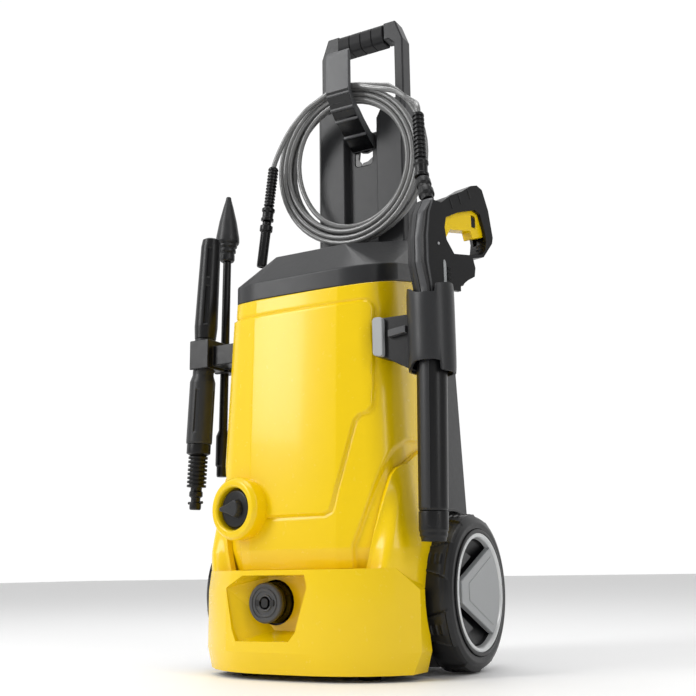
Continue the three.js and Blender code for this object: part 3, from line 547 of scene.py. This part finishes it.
def add_front_cover():
    stations = plan_columns()
    rows = 216
    points = np.zeros((rows, len(stations), 3))
    normals = np.zeros((rows, len(stations), 2))
    for c, (kind, t, sign) in enumerate(stations):
        top_y = plan_point(kind, t, sign, body_half(450.0), body_front(450.0), SPLIT_Y)[1]
        top_z = lid_edge(top_y) - 0.4
        for r in range(rows):
            z = BASE_TOP - 0.3 + (top_z - BASE_TOP + 0.3) * r / (rows - 1)
            tuck = max(0.0, BAND_Z - z) * BAND_TUCK
            x, y, nx, ny = plan_point(kind, t, sign, float(body_half(z)) - tuck,
                                      float(body_front(z)) + tuck, SPLIT_Y)
            points[r, c] = (x, y, z)
            normals[r, c] = (nx, ny)
    normals /= np.linalg.norm(normals, axis=2)[..., None]
    push = panel_relief(points[..., 0], points[..., 1], points[..., 2])
    fade = smooth((SPLIT_Y - points[..., 1]) / 14)
    points[..., 0] += normals[..., 0] * push * fade
    points[..., 1] += normals[..., 1] * push * fade
    cover = piece("front_shell", points.reshape(-1, 3), grid_faces(rows, len(stations)),
                  "machine", YELLOW, ("front_cover",), "yellow_shell", angle=40, outward=False)
    thick = cover.modifiers.new("wall", "SOLIDIFY")
    thick.thickness = -2.6 * MM
    thick.offset = 1


CHEEK_EDGE = [(86, 112), (89, 121), (112, 219), (115.5, 227), (122, 234), (128, 239)]


def add_cheek(sign, label):
    """The base's cheek: a narrow rim, a facet that flares outwards, then a plain side."""
    stations = plan_columns(True)
    rows = 90
    zs = np.linspace(96, 252, rows)
    points = []
    fine = 64
    for z in zs:
        tuck = max(0.0, BAND_Z - z) * 0.1
        half, front = float(body_half(z)) - tuck, float(body_front(z)) + tuck
        line = np.array([plan_point(k, t, s, half, front, SPLIT_Y) for k, t, s in stations])
        edge_x = np.interp(z, [p[1] for p in CHEEK_EDGE], [p[0] for p in CHEEK_EDGE])
        if z > CHEEK_EDGE[-1][1]:
            edge_x = min(half, 128.0)
        run = np.concatenate([[0], np.cumsum(np.hypot(*np.diff(line[:, :2], axis=0).T))])
        start = np.interp(edge_x, line[:, 0], run) if edge_x < half - 0.5 else \
            np.interp(60 + (z - 232) * 2.2, line[:, 1], run)
        spots = start + (run[-1] - start) * (np.linspace(0, 1, fine) ** 1.3)
        flare = 11.5 * float(smooth((236 - z) / 120))
        away = spots - start
        offset = -4 + 6.2 * smooth(away / 1.6) + flare * smooth((away - 4) / 17)
        for s, o in zip(spots, offset):
            x, y, nx, ny = (np.interp(s, run, line[:, k]) for k in range(4))
            size = math.hypot(nx, ny)
            points.append((sign * (x + nx / size * o), y + ny / size * o, z))
    piece(f"cheek_{label}", points, grid_faces(rows, fine), "machine", YELLOW, (),
          "yellow_shell", angle=50)


def drop_cheeks(work):
    """Keeps only the base below its top; the cheeks are pieces of their own here."""
    everything = list(work.verts) + list(work.edges) + list(work.faces)
    bmesh.ops.bisect_plane(work, geom=everything, plane_co=(0, 0, 118.3 * MM),
                           plane_no=(0, 0, 1), clear_outer=True)


def add_base_top():
    """The ledge between the base and the front cover."""
    front = [(x, -5.4 + 20 * (abs(x) / 100) ** 3) for x in np.linspace(-120, 120, 61)]
    prism("base_ledge", [*front, (120, 134), (-120, 134)], lambda x, y, z: (x, y, z),
          (116.2, 117.6), "machine", YELLOW, (), "yellow_shell", bevel=0.4)


add_front_cover()
from_frame("base_cover", YELLOW, bevel=1.6, segments=3, angle=30,
           keep=drop_cheeks)
add_base_top()
add_cheek(1, "right")
add_cheek(-1, "left")
from_frame("rear_cover", GREY, bevel=2.0, segments=3)
from_frame("chassis", BLACK, bevel=0.8, segments=2)


# ---------------------------------------------------------------- lid, panel, handle and hook
from_frame("top_lid", GREY, bevel=1.8, segments=4, angle=24)
from_frame("back_panel", GREY, bevel=1.2, segments=3)
from_frame("handle_frame", GREY, bevel=2.2, segments=4, body="handle")
from_frame("hose_hook", LIGHT_GREY, bevel=1.1, segments=3)


def add_grip():
    """The handle's grip, in four segments."""
    for i in range(4):
        x0 = -35.7 + i * 17.9
        x1 = x0 + 17.2
        outline = [(194.5, 856), (199.5, 847.2), (219.5, 847.2), (223.5, 854), (223.5, 870),
                   (218.5, 876), (200.5, 876), (194.5, 870)]
        prism(f"grip_segment_{i + 1}", outline, facing_side, (x0, x1), "handle", GRIP,
              ("handle_grip",), "soft_grip", 3.0, bevel=0.9)


add_grip()


def add_hook_ribs():
    """Ribs across the hook's glossy underside."""
    path = [(128.4, 751), (136, 737), (143, 727.5), (150, 721.5), (199, 691)]
    for i in range(len(path) - 1):
        (ya, za), (yb, zb) = path[i], path[i + 1]
        run = np.hypot(yb - ya, zb - za)
        ny, nz = (zb - za) / run, -(yb - ya) / run
        outline = [(ya, za), (yb, zb), (yb + ny * 0.8, zb + nz * 0.8),
                   (ya + ny * 0.8, za + nz * 0.8)]
        prism(f"hook_underside_{i + 1}", outline, facing_side, (-17, 17), "machine", GLOSS_BLACK,
              (), "black_plastic", bevel=0.3)
    for i, (y, z) in enumerate(((129.5, 747.5), (139.5, 731), (152, 719), (175, 704.5))):
        outline = [(y - 0.5, z - 2.4), (y + 1.1, z - 3.4), (y + 1.6, z), (y, z + 1)]
        prism(f"hook_rib_{i + 1}", outline, facing_side, (-17.4, 17.4), "machine", LIGHT_GREY,
              (), "dark_plastic", bevel=0.25)


add_hook_ribs()


def add_latch():
    """The handle's catch, seen inside the panel's window."""
    for i, outline in enumerate(([(-14.6, 669.4), (-5, 669.4), (-7, 676), (-10, 680), (-8, 694.6),
                                  (-14.6, 694.6)],
                                 [(-8, 694.6), (-6, 690), (3, 688), (12.6, 691), (12.6, 694.6)],
                                 [(-5, 669.4), (-3, 674), (5, 675), (12.6, 680),
                                  (12.6, 669.4)])):
        prism(f"latch_{i + 1}", outline, facing_front, (203.4, 208), "machine", GLOSS_BLACK, (),
              "black_plastic", 1.2, bevel=0.5)


add_latch()


# ---------------------------------------------------------------- dial
def dial_point(out, across=0.0, up=0.0):
    turn = np.array([-math.sin(DIAL_TURN), -math.cos(DIAL_TURN), 0])
    side = np.array([math.cos(DIAL_TURN), -math.sin(DIAL_TURN), 0])
    return DIAL + turn * out + side * across + np.array([0, 0, up])


def add_dial():
    lathe("dial_ring", [(24.4, -20), (24.4, -2.5), (26.5, 0), (32.5, -0.4), (36.2, -5),
                        (36.2, -24), (24.4, -24), (24.4, -20)], dial_point(0), dial_point(1),
          "machine", YELLOW, ("dial_bezel",), "yellow_shell", 96, 1.4)
    lathe("dial_well", [(0, -17), (24.6, -17), (24.6, -3), (25.4, -3), (25.4, -19), (0, -19)],
          dial_point(0), dial_point(1), "machine", GLOSS_BLACK, (), "black_plastic", 72, 0.6)
    lathe("dial_disc", [(0, -16), (22.6, -16), (22.6, -7), (20.5, -5), (0, -4)],
          dial_point(0), dial_point(1), "dial", BLACK, ("dial_knob",), "black_plastic", 72, 1.0)
    wedge = [(-20, -2.2), (-20, 2.2), (-4, 6.5), (7, 11.5), (11, 7), (12.5, 0), (11, -7),
             (7, -11.5), (-4, -6.5)]
    outline = fillet(wedge, 2.0, 3, True)
    count = len(outline)
    low = [dial_point(-5.5, a, b) for a, b in outline]
    high = [dial_point(3.2 - abs(a) * 0.06, a * 0.9 - 0.6, b * 0.84) for a, b in outline]
    faces = [(i, (i + 1) % count, count + (i + 1) % count, count + i) for i in range(count)]
    faces += [tuple(range(count)), tuple(range(2 * count - 1, count - 1, -1))]
    piece("dial_wedge", low + high, faces, "dial", GREY, (), "dark_plastic", bevel=0.9)


add_dial()


# ---------------------------------------------------------------- outlet
def add_outlet():
    centre, tip = (-33, 11.5, 82), (-33, -100, 82)
    lathe("outlet_disc", [(0, -9), (7.2, -9), (7.2, 0.2), (9.3, 0.4), (9.3, -1.2), (13.2, -1.2),
                          (13.4, -0.2), (15.6, -0.2), (15.8, -1.2), (17.4, -1.2), (17.6, 0),
                          (20.8, 0), (22.4, -1.6), (22.4, -4.5), (20, -5.5), (0, -9)],
          centre, tip, "machine", LIGHT_GREY, ("outlet_coupling",), "dark_plastic", 96, 0.5)
    lathe("outlet_barrel", [(7.5, -3), (21, -3), (21.4, -6), (20.3, -16), (23, -20), (24, -32),
                            (7.5, -34), (7.5, -3)], centre, tip, "machine", GLOSS_BLACK, (),
          "black_plastic", 80, 1.4)
    for i, side in enumerate((-1, 1)):
        outline = [(-33 + side * 9.6 - 2.6, 78.6), (-33 + side * 9.6 + 2.6, 78.6),
                   (-33 + side * 9.6 + 2.6, 85.4), (-33 + side * 9.6 - 2.6, 85.4)]
        # painted shade: deep black plates stand in for the shade inside the coupling's notches
        prism(f"outlet_notch_{i + 1}", outline, facing_front, (11.1, 13.5), "machine",
              RECESS_SHADE_BLACK, (), "black_plastic", 0.6, bevel=0.2)
    # painted shade: a deep black plate stands in for the shade inside the coupling's slot
    slot_outline = [(-36.6, 77), (-29.4, 77), (-28.4, 82), (-29.4, 87), (-36.6, 87),
                    (-37.6, 82)]
    prism("outlet_slot", slot_outline, facing_front, (11.0, 14.5), "machine", RECESS_SHADE_BLACK, (),
          "black_plastic", 2.2, bevel=0.2)


add_outlet()


# ---------------------------------------------------------------- wheels
def tyre_relief(angle, out):
    """Seven raised lugs round the tread, each a rounded trapezoid with a thin rim."""
    lugs = 7
    turn = (angle / (2 * math.pi) * lugs + 0.5) % 1.0 - 0.5
    along = turn * 2 * math.pi * WHEEL_R / lugs
    half = 12 + (out - 8) * 0.32
    inside = np.minimum(half - np.abs(along), np.minimum(out - 9.0, 44.0 - out))
    lug = 2.2 * smooth(inside / 0.9) - 1.0 * smooth((inside - 2.0) / 0.7)
    bars = (np.abs(np.abs(out - 27.0) - 7.0) < 1.2) | (np.abs(out - 27.0) < 1.2)
    return lug + 0.9 * (bars & (inside > 5) & (np.abs(along) < 5.5))


def add_tyre(sign, label):
    profile = [(62.3, 3), (70, 1.4), (78, 0.8), (84, 3.4), (86.6, 8), (87.3, 14), (87.3, 36),
               (86.4, 42), (84.3, 45.2), (79, 47.2), (72.4, 46.8), (72.2, 42), (62.3, 41),
               (62.3, 3)]
    outline = []
    for a, b in zip(profile, profile[1:]):
        count = max(1, int(math.dist(a, b) / 1.3))
        outline += [(a[0] + (b[0] - a[0]) * k / count, a[1] + (b[1] - a[1]) * k / count)
                    for k in range(count)]
    outline.append(profile[-1])
    sides = 420
    angles = np.linspace(0, 2 * math.pi, sides, endpoint=False)
    points = []
    for r, out in outline:
        relief = tyre_relief(angles, out) if r > 84 else 0 * angles
        rr = np.minimum(r + relief, WHEEL_R - 0.05)
        x = np.full(sides, sign * (WHEEL_IN + out))
        points.extend(np.stack([x, AXLE_Y + rr * np.cos(angles), WHEEL_R + rr * np.sin(angles)],
                               axis=1))
    piece(f"tyre_{label}_tread", points, grid_faces(len(outline), sides, True),
          f"wheel_{label}", TYRE, (f"tyre_{label}",), "tyre", angle=30)


CAP_CUT = [(33, 49), (-52, 13), (-52, -11), (35, -48)]


def cap_outline(radius):
    """The cap: a disc with its front third cut away along straight edges."""
    start = math.atan2(CAP_CUT[0][1], CAP_CUT[0][0])
    end = math.atan2(CAP_CUT[3][1], CAP_CUT[3][0])
    arc = [(radius * math.cos(a), radius * math.sin(a)) for a in np.linspace(end, start, 36)]
    return arc + [(CAP_CUT[1][0], CAP_CUT[1][1]), (CAP_CUT[2][0], CAP_CUT[2][1])]


def add_wheel(sign, label):
    body = f"wheel_{label}"

    def wheel_point(a, b, out):
        return (sign * (WHEEL_IN + out), AXLE_Y + a, WHEEL_R + b)

    def wheel_lathe(name, profile, mat, nodes=(), slot=None, radius=1.0):
        return lathe(name, profile, wheel_point(0, 0, 0), wheel_point(0, 0, 100), body, mat,
                     nodes, slot, 96, radius)

    add_tyre(sign, label)
    wheel_lathe(f"rim_{label}_dish", [(6.6, 6), (14, 6), (18, 16), (61.9, 12), (61.9, 41),
                                      (71.5, 43), (71.5, 48.4), (67.6, 48.6), (59, 37),
                                      (30, 33), (12, 36), (6.6, 36), (6.6, 6)], BLACK,
                (f"rim_{label}",), "black_plastic")
    wheel_lathe(f"wheel_ring_{label}", [(60.4, 41), (61.5, 46), (63.2, 48.6), (66.2, 48.9),
                                        (67.2, 47.6), (66.2, 44), (60.4, 41)], RING, (),
                "cap_grey", 0.5)
    prism(f"wheel_cap_{label}", cap_outline(60.3), wheel_point, (40, 47.4), body, CAP,
          (f"hub_cap_{label}",), "cap_grey", bevel=0.9)
    inner = [(a * 0.78 + 8, b * 0.8) for a, b in cap_outline(60.3)]
    prism(f"wheel_cap_{label}_middle", inner, wheel_point, (45, 48.2), body, CAP, (),
          "cap_grey", bevel=0.6)
    for i, up in enumerate((1, -1)):
        outline = [(-8, up * 40), (-46, up * 22), (-52, up * 31), (-34, up * 49)]
        prism(f"wheel_step_{label}_{i + 1}", outline if up < 0 else outline[::-1], wheel_point,
              (34, 40.5), body, GREY, (), "dark_plastic", 2.0, bevel=0.6)


add_wheel(1, "right")
add_wheel(-1, "left")


# ---------------------------------------------------------------- gun
def gun_point(u, z, side):
    s, c = math.sin(GUN_TURN), math.cos(GUN_TURN)
    return (GUN[0] + u * s + side * c, GUN[1] + u * c - side * s, z)


from_frame("gun_body", BLACK, bevel=3.4, segments=4)
from_frame("gun_trigger", YELLOW, bevel=1.8, segments=4, body="trigger")
from_frame("trigger_lock", GLOSS_BLACK, bevel=1.2, body="trigger_lock")
from_frame("release_button", GREY, bevel=1.0, body="release")


def add_gun_spine():
    """The lighter spine that wraps the gun's near edge, in two halves with a seam; the halves are one
    plastic, given a darker and a lighter grey as painted light and shade.
    """
    profile = [(402, 15.4, -2), (424, 17.5, -1), (450, 24.5, 0), (480, 24.5, 0), (510, 18.5, 0),
               (527, 9, 0)]
    zs = np.linspace(403, 528, 48)
    for index, (side0, side1) in enumerate(((-12.6, -0.35), (0.35, 12.6))):
        points = []
        cols = 14
        for z in zs:
            depth = np.interp(z, [p[0] for p in profile], [p[1] for p in profile]) + 0.5
            for k in range(cols):
                t = k / (cols - 1)
                side = side0 + (side1 - side0) * t
                edge = math.sqrt(max(0.0, 1 - (side / 14.2) ** 2))
                points.append(gun_point(-depth * (0.42 + 0.6 * edge) - 0.4, z, side * 1.08))
        # painted light and shade: the second half gets the lighter grey, the first the darker one
        piece(f"gun_spine_{index + 1}", points, grid_faces(len(zs), cols), "machine",
              LIGHT_GREY if index else GREY, (), "dark_plastic", angle=50,
              outward=False).modifiers.new("wall", "SOLIDIFY").thickness = 1.4 * MM


add_gun_spine()


def add_gun_details():
    for i, (u, z) in enumerate(((24, 531), (40, 541), (58, 552))):
        outline = [(u, z + 5), (u + 2.2, z + 5.6), (u + 7.2, z - 6), (u + 5.2, z - 6.6)]
        # painted shade: deep black plates stand in for the shade inside the grip's grooves
        prism(f"grip_groove_{i + 1}", outline, gun_point, (11.4, 12.5), "machine",
              RECESS_SHADE_BLACK, (), "black_plastic", bevel=0.2)
    prism("gun_strip", [(9, 430), (13.5, 428), (13.5, 455), (11, 459), (9, 457)], gun_point,
          (11.0, 12.8), "machine", CAP, (), "cap_grey", bevel=0.4)
    for i in range(4):
        z = 430 + i * 6.0
        prism(f"gun_rib_{i + 1}", [(16.5, z), (22.5, z), (22.5, z + 3.4), (16.5, z + 3.4)],
              gun_point, (11.0, 12.7), "machine", GLOSS_BLACK, (), "black_plastic", bevel=0.3)
    lathe("gun_pin", [(0, 0), (1.7, 0), (1.7, 0.9), (0, 1.2)], gun_point(1.5, 476, 11.9),
          gun_point(1.5, 476, 20), "machine", STEEL, (), "steel", 24, 0.3)
    lathe("guard_pin", [(0, 0), (3.2, 0), (3.2, 4), (0, 4.6)], gun_point(87, 489, 4),
          gun_point(80, 492, 4), "machine", GREY, (), "black_plastic", 24, 0.6)


add_gun_details()


# ---------------------------------------------------------------- gun barrel and its holder
def add_barrel():
    top, end = np.array([170, 42, 401.6]), np.array([165, 42, 177.0])
    length = np.linalg.norm(end - top)
    lathe("barrel_tube", [(0, 0), (17.2, 0), (17.4, 2), (16.9, 120), (16.2, length - 3),
                          (15.2, length), (0, length)], top, end, "machine", BLACK,
          ("gun_barrel",), "black_plastic", 80, 0.8)
    strip_points, rows = [], 40
    axis = (end - top) / length
    for r in range(rows):
        h = 60 + (length - 62) * r / (rows - 1)
        for k in range(10):
            a = math.radians(-118 + 42 * k / 9)
            rr = 17.35 - h * 0.0045
            strip_points.append(top + axis * h + np.array([rr * math.cos(a), rr * math.sin(a),
                                                           0]))
    piece("barrel_strip", strip_points, grid_faces(rows, 10), "machine", GREY, (),
          "dark_plastic", outward=False).modifiers.new("wall", "SOLIDIFY").thickness = 0.6 * MM
    end_low = np.array([164.3, 42, 145.0])
    axis_low = (end_low - end) / np.linalg.norm(end_low - end)
    start = end + axis_low * 0.3
    low = np.linalg.norm(end_low - start)
    lathe("collar_ring", [(9.2, 0), (16.2, 0), (16.2, low - 12), (15.2, low - 10),
                          (15.2, low - 6), (13.8, low - 4), (13.5, low), (9.2, low), (9.2, 0)],
          start, end_low, "machine", BLACK, ("barrel_collar",), "black_plastic", 72, 0.7)
    outline = [(-5, 160), (5, 160), (7, 163), (7, 174), (-7, 174), (-7, 163)]

    def on_collar(a, z, out):
        turn = math.radians(-68) + a / 16.0
        return (165 + out * math.cos(turn), 42 + out * math.sin(turn), z)

    # painted shade: a deep black plate stands in for the shade inside the collar's window
    prism("collar_window", outline, on_collar, (14.0, 16.6), "machine", RECESS_SHADE_BLACK, (),
          "black_plastic", 1.5, bevel=0.3)


add_barrel()


def add_holder():
    """The sleeve that holds the gun: its top edge climbs and its bottom edge is arched."""
    angles = np.linspace(0, 2 * math.pi, 120, endpoint=False)
    rows = 46
    centre = np.array([169.0, 42.0])
    turn = angles - math.radians(-61)
    facing = np.cos(turn)
    right = np.sin(turn)
    top = 424 - 9 * smooth((facing - 0.1) * 1.2) * (right < 0.15) + 4 * smooth(right)
    bottom = 330 + 9 * smooth(facing * 1.4) * (right < 0.3) - 3 * smooth(right * 2)
    outer, inner = [], []
    for r in range(rows):
        t = r / (rows - 1)
        z = bottom + (top - bottom) * t
        swell = 27.0 - 0.8 * (2 * t - 1) ** 8
        for ring, radius in ((outer, swell), (inner, 23.2)):
            ring.append(np.stack([centre[0] + radius * np.cos(angles),
                                  centre[1] + radius * np.sin(angles), z], axis=1))
    loop = outer + inner[::-1] + outer[:1]
    points = np.concatenate(loop)
    piece("holder_sleeve", points, grid_faces(len(loop), len(angles), True), "machine",
          GREY, ("gun_holder",), "dark_plastic")


add_holder()


def add_bracket():
    """The holder's bracket: a pale rounded plate in front, a black arm and a small tab."""
    prism("bracket_arm", [(104.4, 352), (117, 349), (147, 333), (147, 395.7), (104.4, 395.7)],
          facing_front, (29, 57.7), "machine", BLACK, ("gun_bracket",), "black_plastic",
          bevel=1.2)
    prism("bracket_plate", [(104.4, 352), (117, 349.5), (117, 395.6), (104.4, 395.6)],
          facing_front, (22.3, 31), "machine", CAP, (), "cap_grey", 4.0, bevel=1.4)
    prism("bracket_tab", [(124, 371), (146, 374), (146, 382), (124, 379)], facing_front,
          (22.6, 31), "machine", LIGHT_GREY, (), "dark_plastic", bevel=0.6)


add_bracket()


# ---------------------------------------------------------------- stored lances
VARIO = (np.array([-181, 70, 194.0]), np.array([-163, 70, 551.0]))
ROTARY = (np.array([-165, 104, 237.0]), np.array([-161, 104, 622.0]))


def lance(name, ends, profile, body, mat, nodes, slot, relief=None, radius=0.8, sides=96,
          fine=0.0):
    """Profile points are (radius, height above the floor) on the lance's axis."""
    low, high = ends
    slope = np.linalg.norm(high - low) / (high[2] - low[2])
    z0 = profile[0][1]
    start = low + (high - low) * (z0 - low[2]) / (high[2] - low[2])
    points = [(r, (z - z0) * slope) for r, z in profile]
    if fine:
        dense = []
        for a, b in zip(points, points[1:]):
            count = max(1, int(math.dist(a, b) / fine))
            dense += [(a[0] + (b[0] - a[0]) * k / count, a[1] + (b[1] - a[1]) * k / count)
                      for k in range(count)]
        points, radius = dense + [points[-1]], 0
    shifted = (lambda a, h: relief(a, h + z0)) if relief else None
    return lathe(name, points, start, start + (high - low), body, mat, nodes, slot, sides,
                 radius, relief=shifted, angle=28)


def slots(spans, width, depth, count=3, phase=0.0):
    """Long grooves that run along a lance, `count` of them round it."""
    def relief(angle, z):
        out = 0 * angle
        for low, high in spans:
            turn = ((angle + phase) / (2 * math.pi) * count) % 1.0 - 0.5
            along = np.abs(turn) * 2 * math.pi / count
            inside = np.minimum(width / 2 - along * 15, min(z - low, high - z))
            out = out - depth * smooth((inside + 0.4) / 0.8)
        return out
    return relief


def add_lances():
    low_end = [(0, 194), (6.4, 194), (7.4, 196), (7.4, 203), (6, 204), (6, 209), (8.6, 211),
               (8.6, 216), (7.2, 218), (7.2, 222)]
    for i in range(8):
        z = 222 + i * 5.1
        low_end += [(9.6, z), (12.3, z + 0.4), (12.3, z + 3.3), (9.6, z + 3.7)]
    low_end += [(13.5, 264), (15.2, 265), (15.2, 276.6), (0, 276.8)]
    lance("vario_end", VARIO, low_end, "lance_vario", BLACK, ("vario_bayonet",),
          "black_plastic", radius=0.4, sides=72)
    lance("vario_handle", VARIO, [(0, 277.4), (15.9, 277.4), (16.5, 279), (16.4, 357),
                                  (13.6, 366), (13.4, 413.6), (0, 414)], "lance_vario", GREY,
          ("vario_tube",), "black_plastic", slots(((292, 346),), 4.2, 1.5, 4, 0.5), fine=1.6,
          sides=192)
    lance("vario_head", VARIO, [(0, 414.4), (13.8, 414.6), (15, 430), (13.9, 490), (12.9, 540),
                                (11.4, 549), (8, 551), (0, 551)], "vario_sleeve", BLACK,
          ("vario_nozzle",), "black_plastic",
          slots(((432, 484), (496, 536)), 4.6, 1.5, 3, 1.0), fine=1.6, sides=192)
    lance("rotary_shaft", ROTARY, [(0, 237), (6.8, 237), (7.4, 240), (7.4, 250), (9, 252),
                                   (9, 290), (5.7, 298), (5.5, 528), (0, 528)],
          "lance_rotary", BLACK, ("rotary_tube",), "black_plastic", sides=64)
    lance("rotary_head", ROTARY, [(0, 528.4), (8.5, 528.4), (10, 531), (10, 538), (9, 539.5),
                                  (11.5, 541.5), (11.5, 545), (10.5, 546.5), (13, 549),
                                  (13, 552), (15.2, 554), (16, 557), (15.7, 563), (12, 585),
                                  (7, 606), (4, 617), (3.4, 621), (1.5, 622), (0, 622)],
          "lance_rotary", GREY, ("rotary_nozzle",), "dark_plastic", sides=80)
    for i, side in enumerate((-1, 1)):
        spot = VARIO[0] + (VARIO[1] - VARIO[0]) * 0.025
        lathe(f"vario_pin_{i + 1}", [(0, 0), (1.8, 0), (1.8, 4.6), (0, 5)],
              spot + np.array([side * 6.5, 0, 0]), spot + np.array([side * 20, 0, 0]),
              "lance_vario", BLACK, (), "black_plastic", 20, 0.4)


add_lances()
from_frame("lance_clip", BLACK, bevel=1.2)

# ---------------------------------------------------------------- inner and small pieces
PLAIN = {
    "inlet_coupling": (BLACK, "black_plastic", "machine"),
    "inlet_filter": (WHITE, "white_plastic", "machine"),
    "inlet_pipe": (BLACK, "black_plastic", "machine"),
    "cable_gland": (GRIP, "soft_grip", "machine"),
    "pump_head": (BRASS, "pump_alloy", "machine"),
    "piston_1": (STEEL, "steel", "machine"),
    "piston_2": (STEEL, "steel", "machine"),
    "piston_3": (STEEL, "steel", "machine"),
    "pump_housing": (ALLOY, "pump_alloy", "machine"),
    "motor_housing": (ALLOY, "pump_alloy", "machine"),
    "wobble_plate": (STEEL, "steel", "rotor"),
    "motor_rotor": (COPPER, "motor_core", "rotor"),
    "cooling_fan": (BLACK, "black_plastic", "rotor"),
    "start_capacitor": (WHITE, "white_plastic", "machine"),
    "switch_box": (WHITE, "white_plastic", "machine"),
    "axle": (STEEL, "steel", "machine"),
    "axle_clip_left": (STEEL, "steel", "machine"),
    "axle_clip_right": (STEEL, "steel", "machine"),
    "front_foot_left": (GRIP, "soft_grip", "machine"),
    "front_foot_right": (GRIP, "soft_grip", "machine"),
}
for node, (mat, slot_name, body_name) in PLAIN.items():
    from_frame(node, mat, bevel=0.5, segments=2, body=body_name)


# ---------------------------------------------------------------- stage and light
def add_stage():
    mesh = bpy.data.meshes.new("floor")
    mesh.from_pydata([(-12, -12, 0), (12, -12, 0), (12, 12, 0), (-12, 12, 0)], [], [(0, 1, 2, 3)])
    floor = bpy.data.objects.new("floor", mesh)
    floor.data.materials.append(material("pale_floor", (0.93, 0.93, 0.93), 0.6, 0.05, 3.0,
                                         shade=0.01))
    bpy.context.scene.collection.objects.link(floor)


def add_light(name, spot, aim, size, power, colour=(1, 1, 1)):
    data = bpy.data.lights.new(name, "AREA")
    data.shape = "RECTANGLE"
    data.size, data.size_y = size
    data.energy = power
    data.color = colour
    light = bpy.data.objects.new(name, data)
    direction = Vector(aim) - Vector(spot)
    light.rotation_euler = direction.to_track_quat("-Z", "Y").to_euler()
    light.location = spot
    bpy.context.scene.collection.objects.link(light)


def add_lighting():
    world = bpy.data.worlds.new("studio")
    world.use_nodes = True
    back = world.node_tree.nodes["Background"]
    back.inputs["Color"].default_value = (1, 1, 1, 1)
    nodes, links = world.node_tree.nodes, world.node_tree.links
    coords = nodes.new("ShaderNodeTexCoord")
    toward = nodes.new("ShaderNodeVectorMath")
    toward.operation = "DOT_PRODUCT"
    toward.inputs[1].default_value = (-0.62, 0.77, 0.12)
    links.new(coords.outputs["Generated"], toward.inputs[0])
    glow = nodes.new("ShaderNodeMapRange")
    glow.interpolation_type = "SMOOTHSTEP"
    glow.inputs["From Min"].default_value = -0.1
    glow.inputs["From Max"].default_value = 0.65
    glow.inputs["To Min"].default_value = 0.36
    glow.inputs["To Max"].default_value = 1.02
    links.new(toward.outputs["Value"], glow.inputs["Value"])
    links.new(glow.outputs["Result"], back.inputs["Strength"])
    bpy.context.scene.world = world
    bpy.context.scene.view_settings.view_transform = "Standard"
    add_light("key_left", (-1.3, -1.7, 1.5), (0, 0, 0.4), (0.7, 1.8), 30)
    add_light("strip_right", (1.6, -0.6, 1.0), (0, 0, 0.4), (0.35, 1.6), 7)
    add_light("top", (0, -0.2, 2.4), (0, 0, 0.4), (1.2, 1.2), 16)


add_stage()
add_lighting()
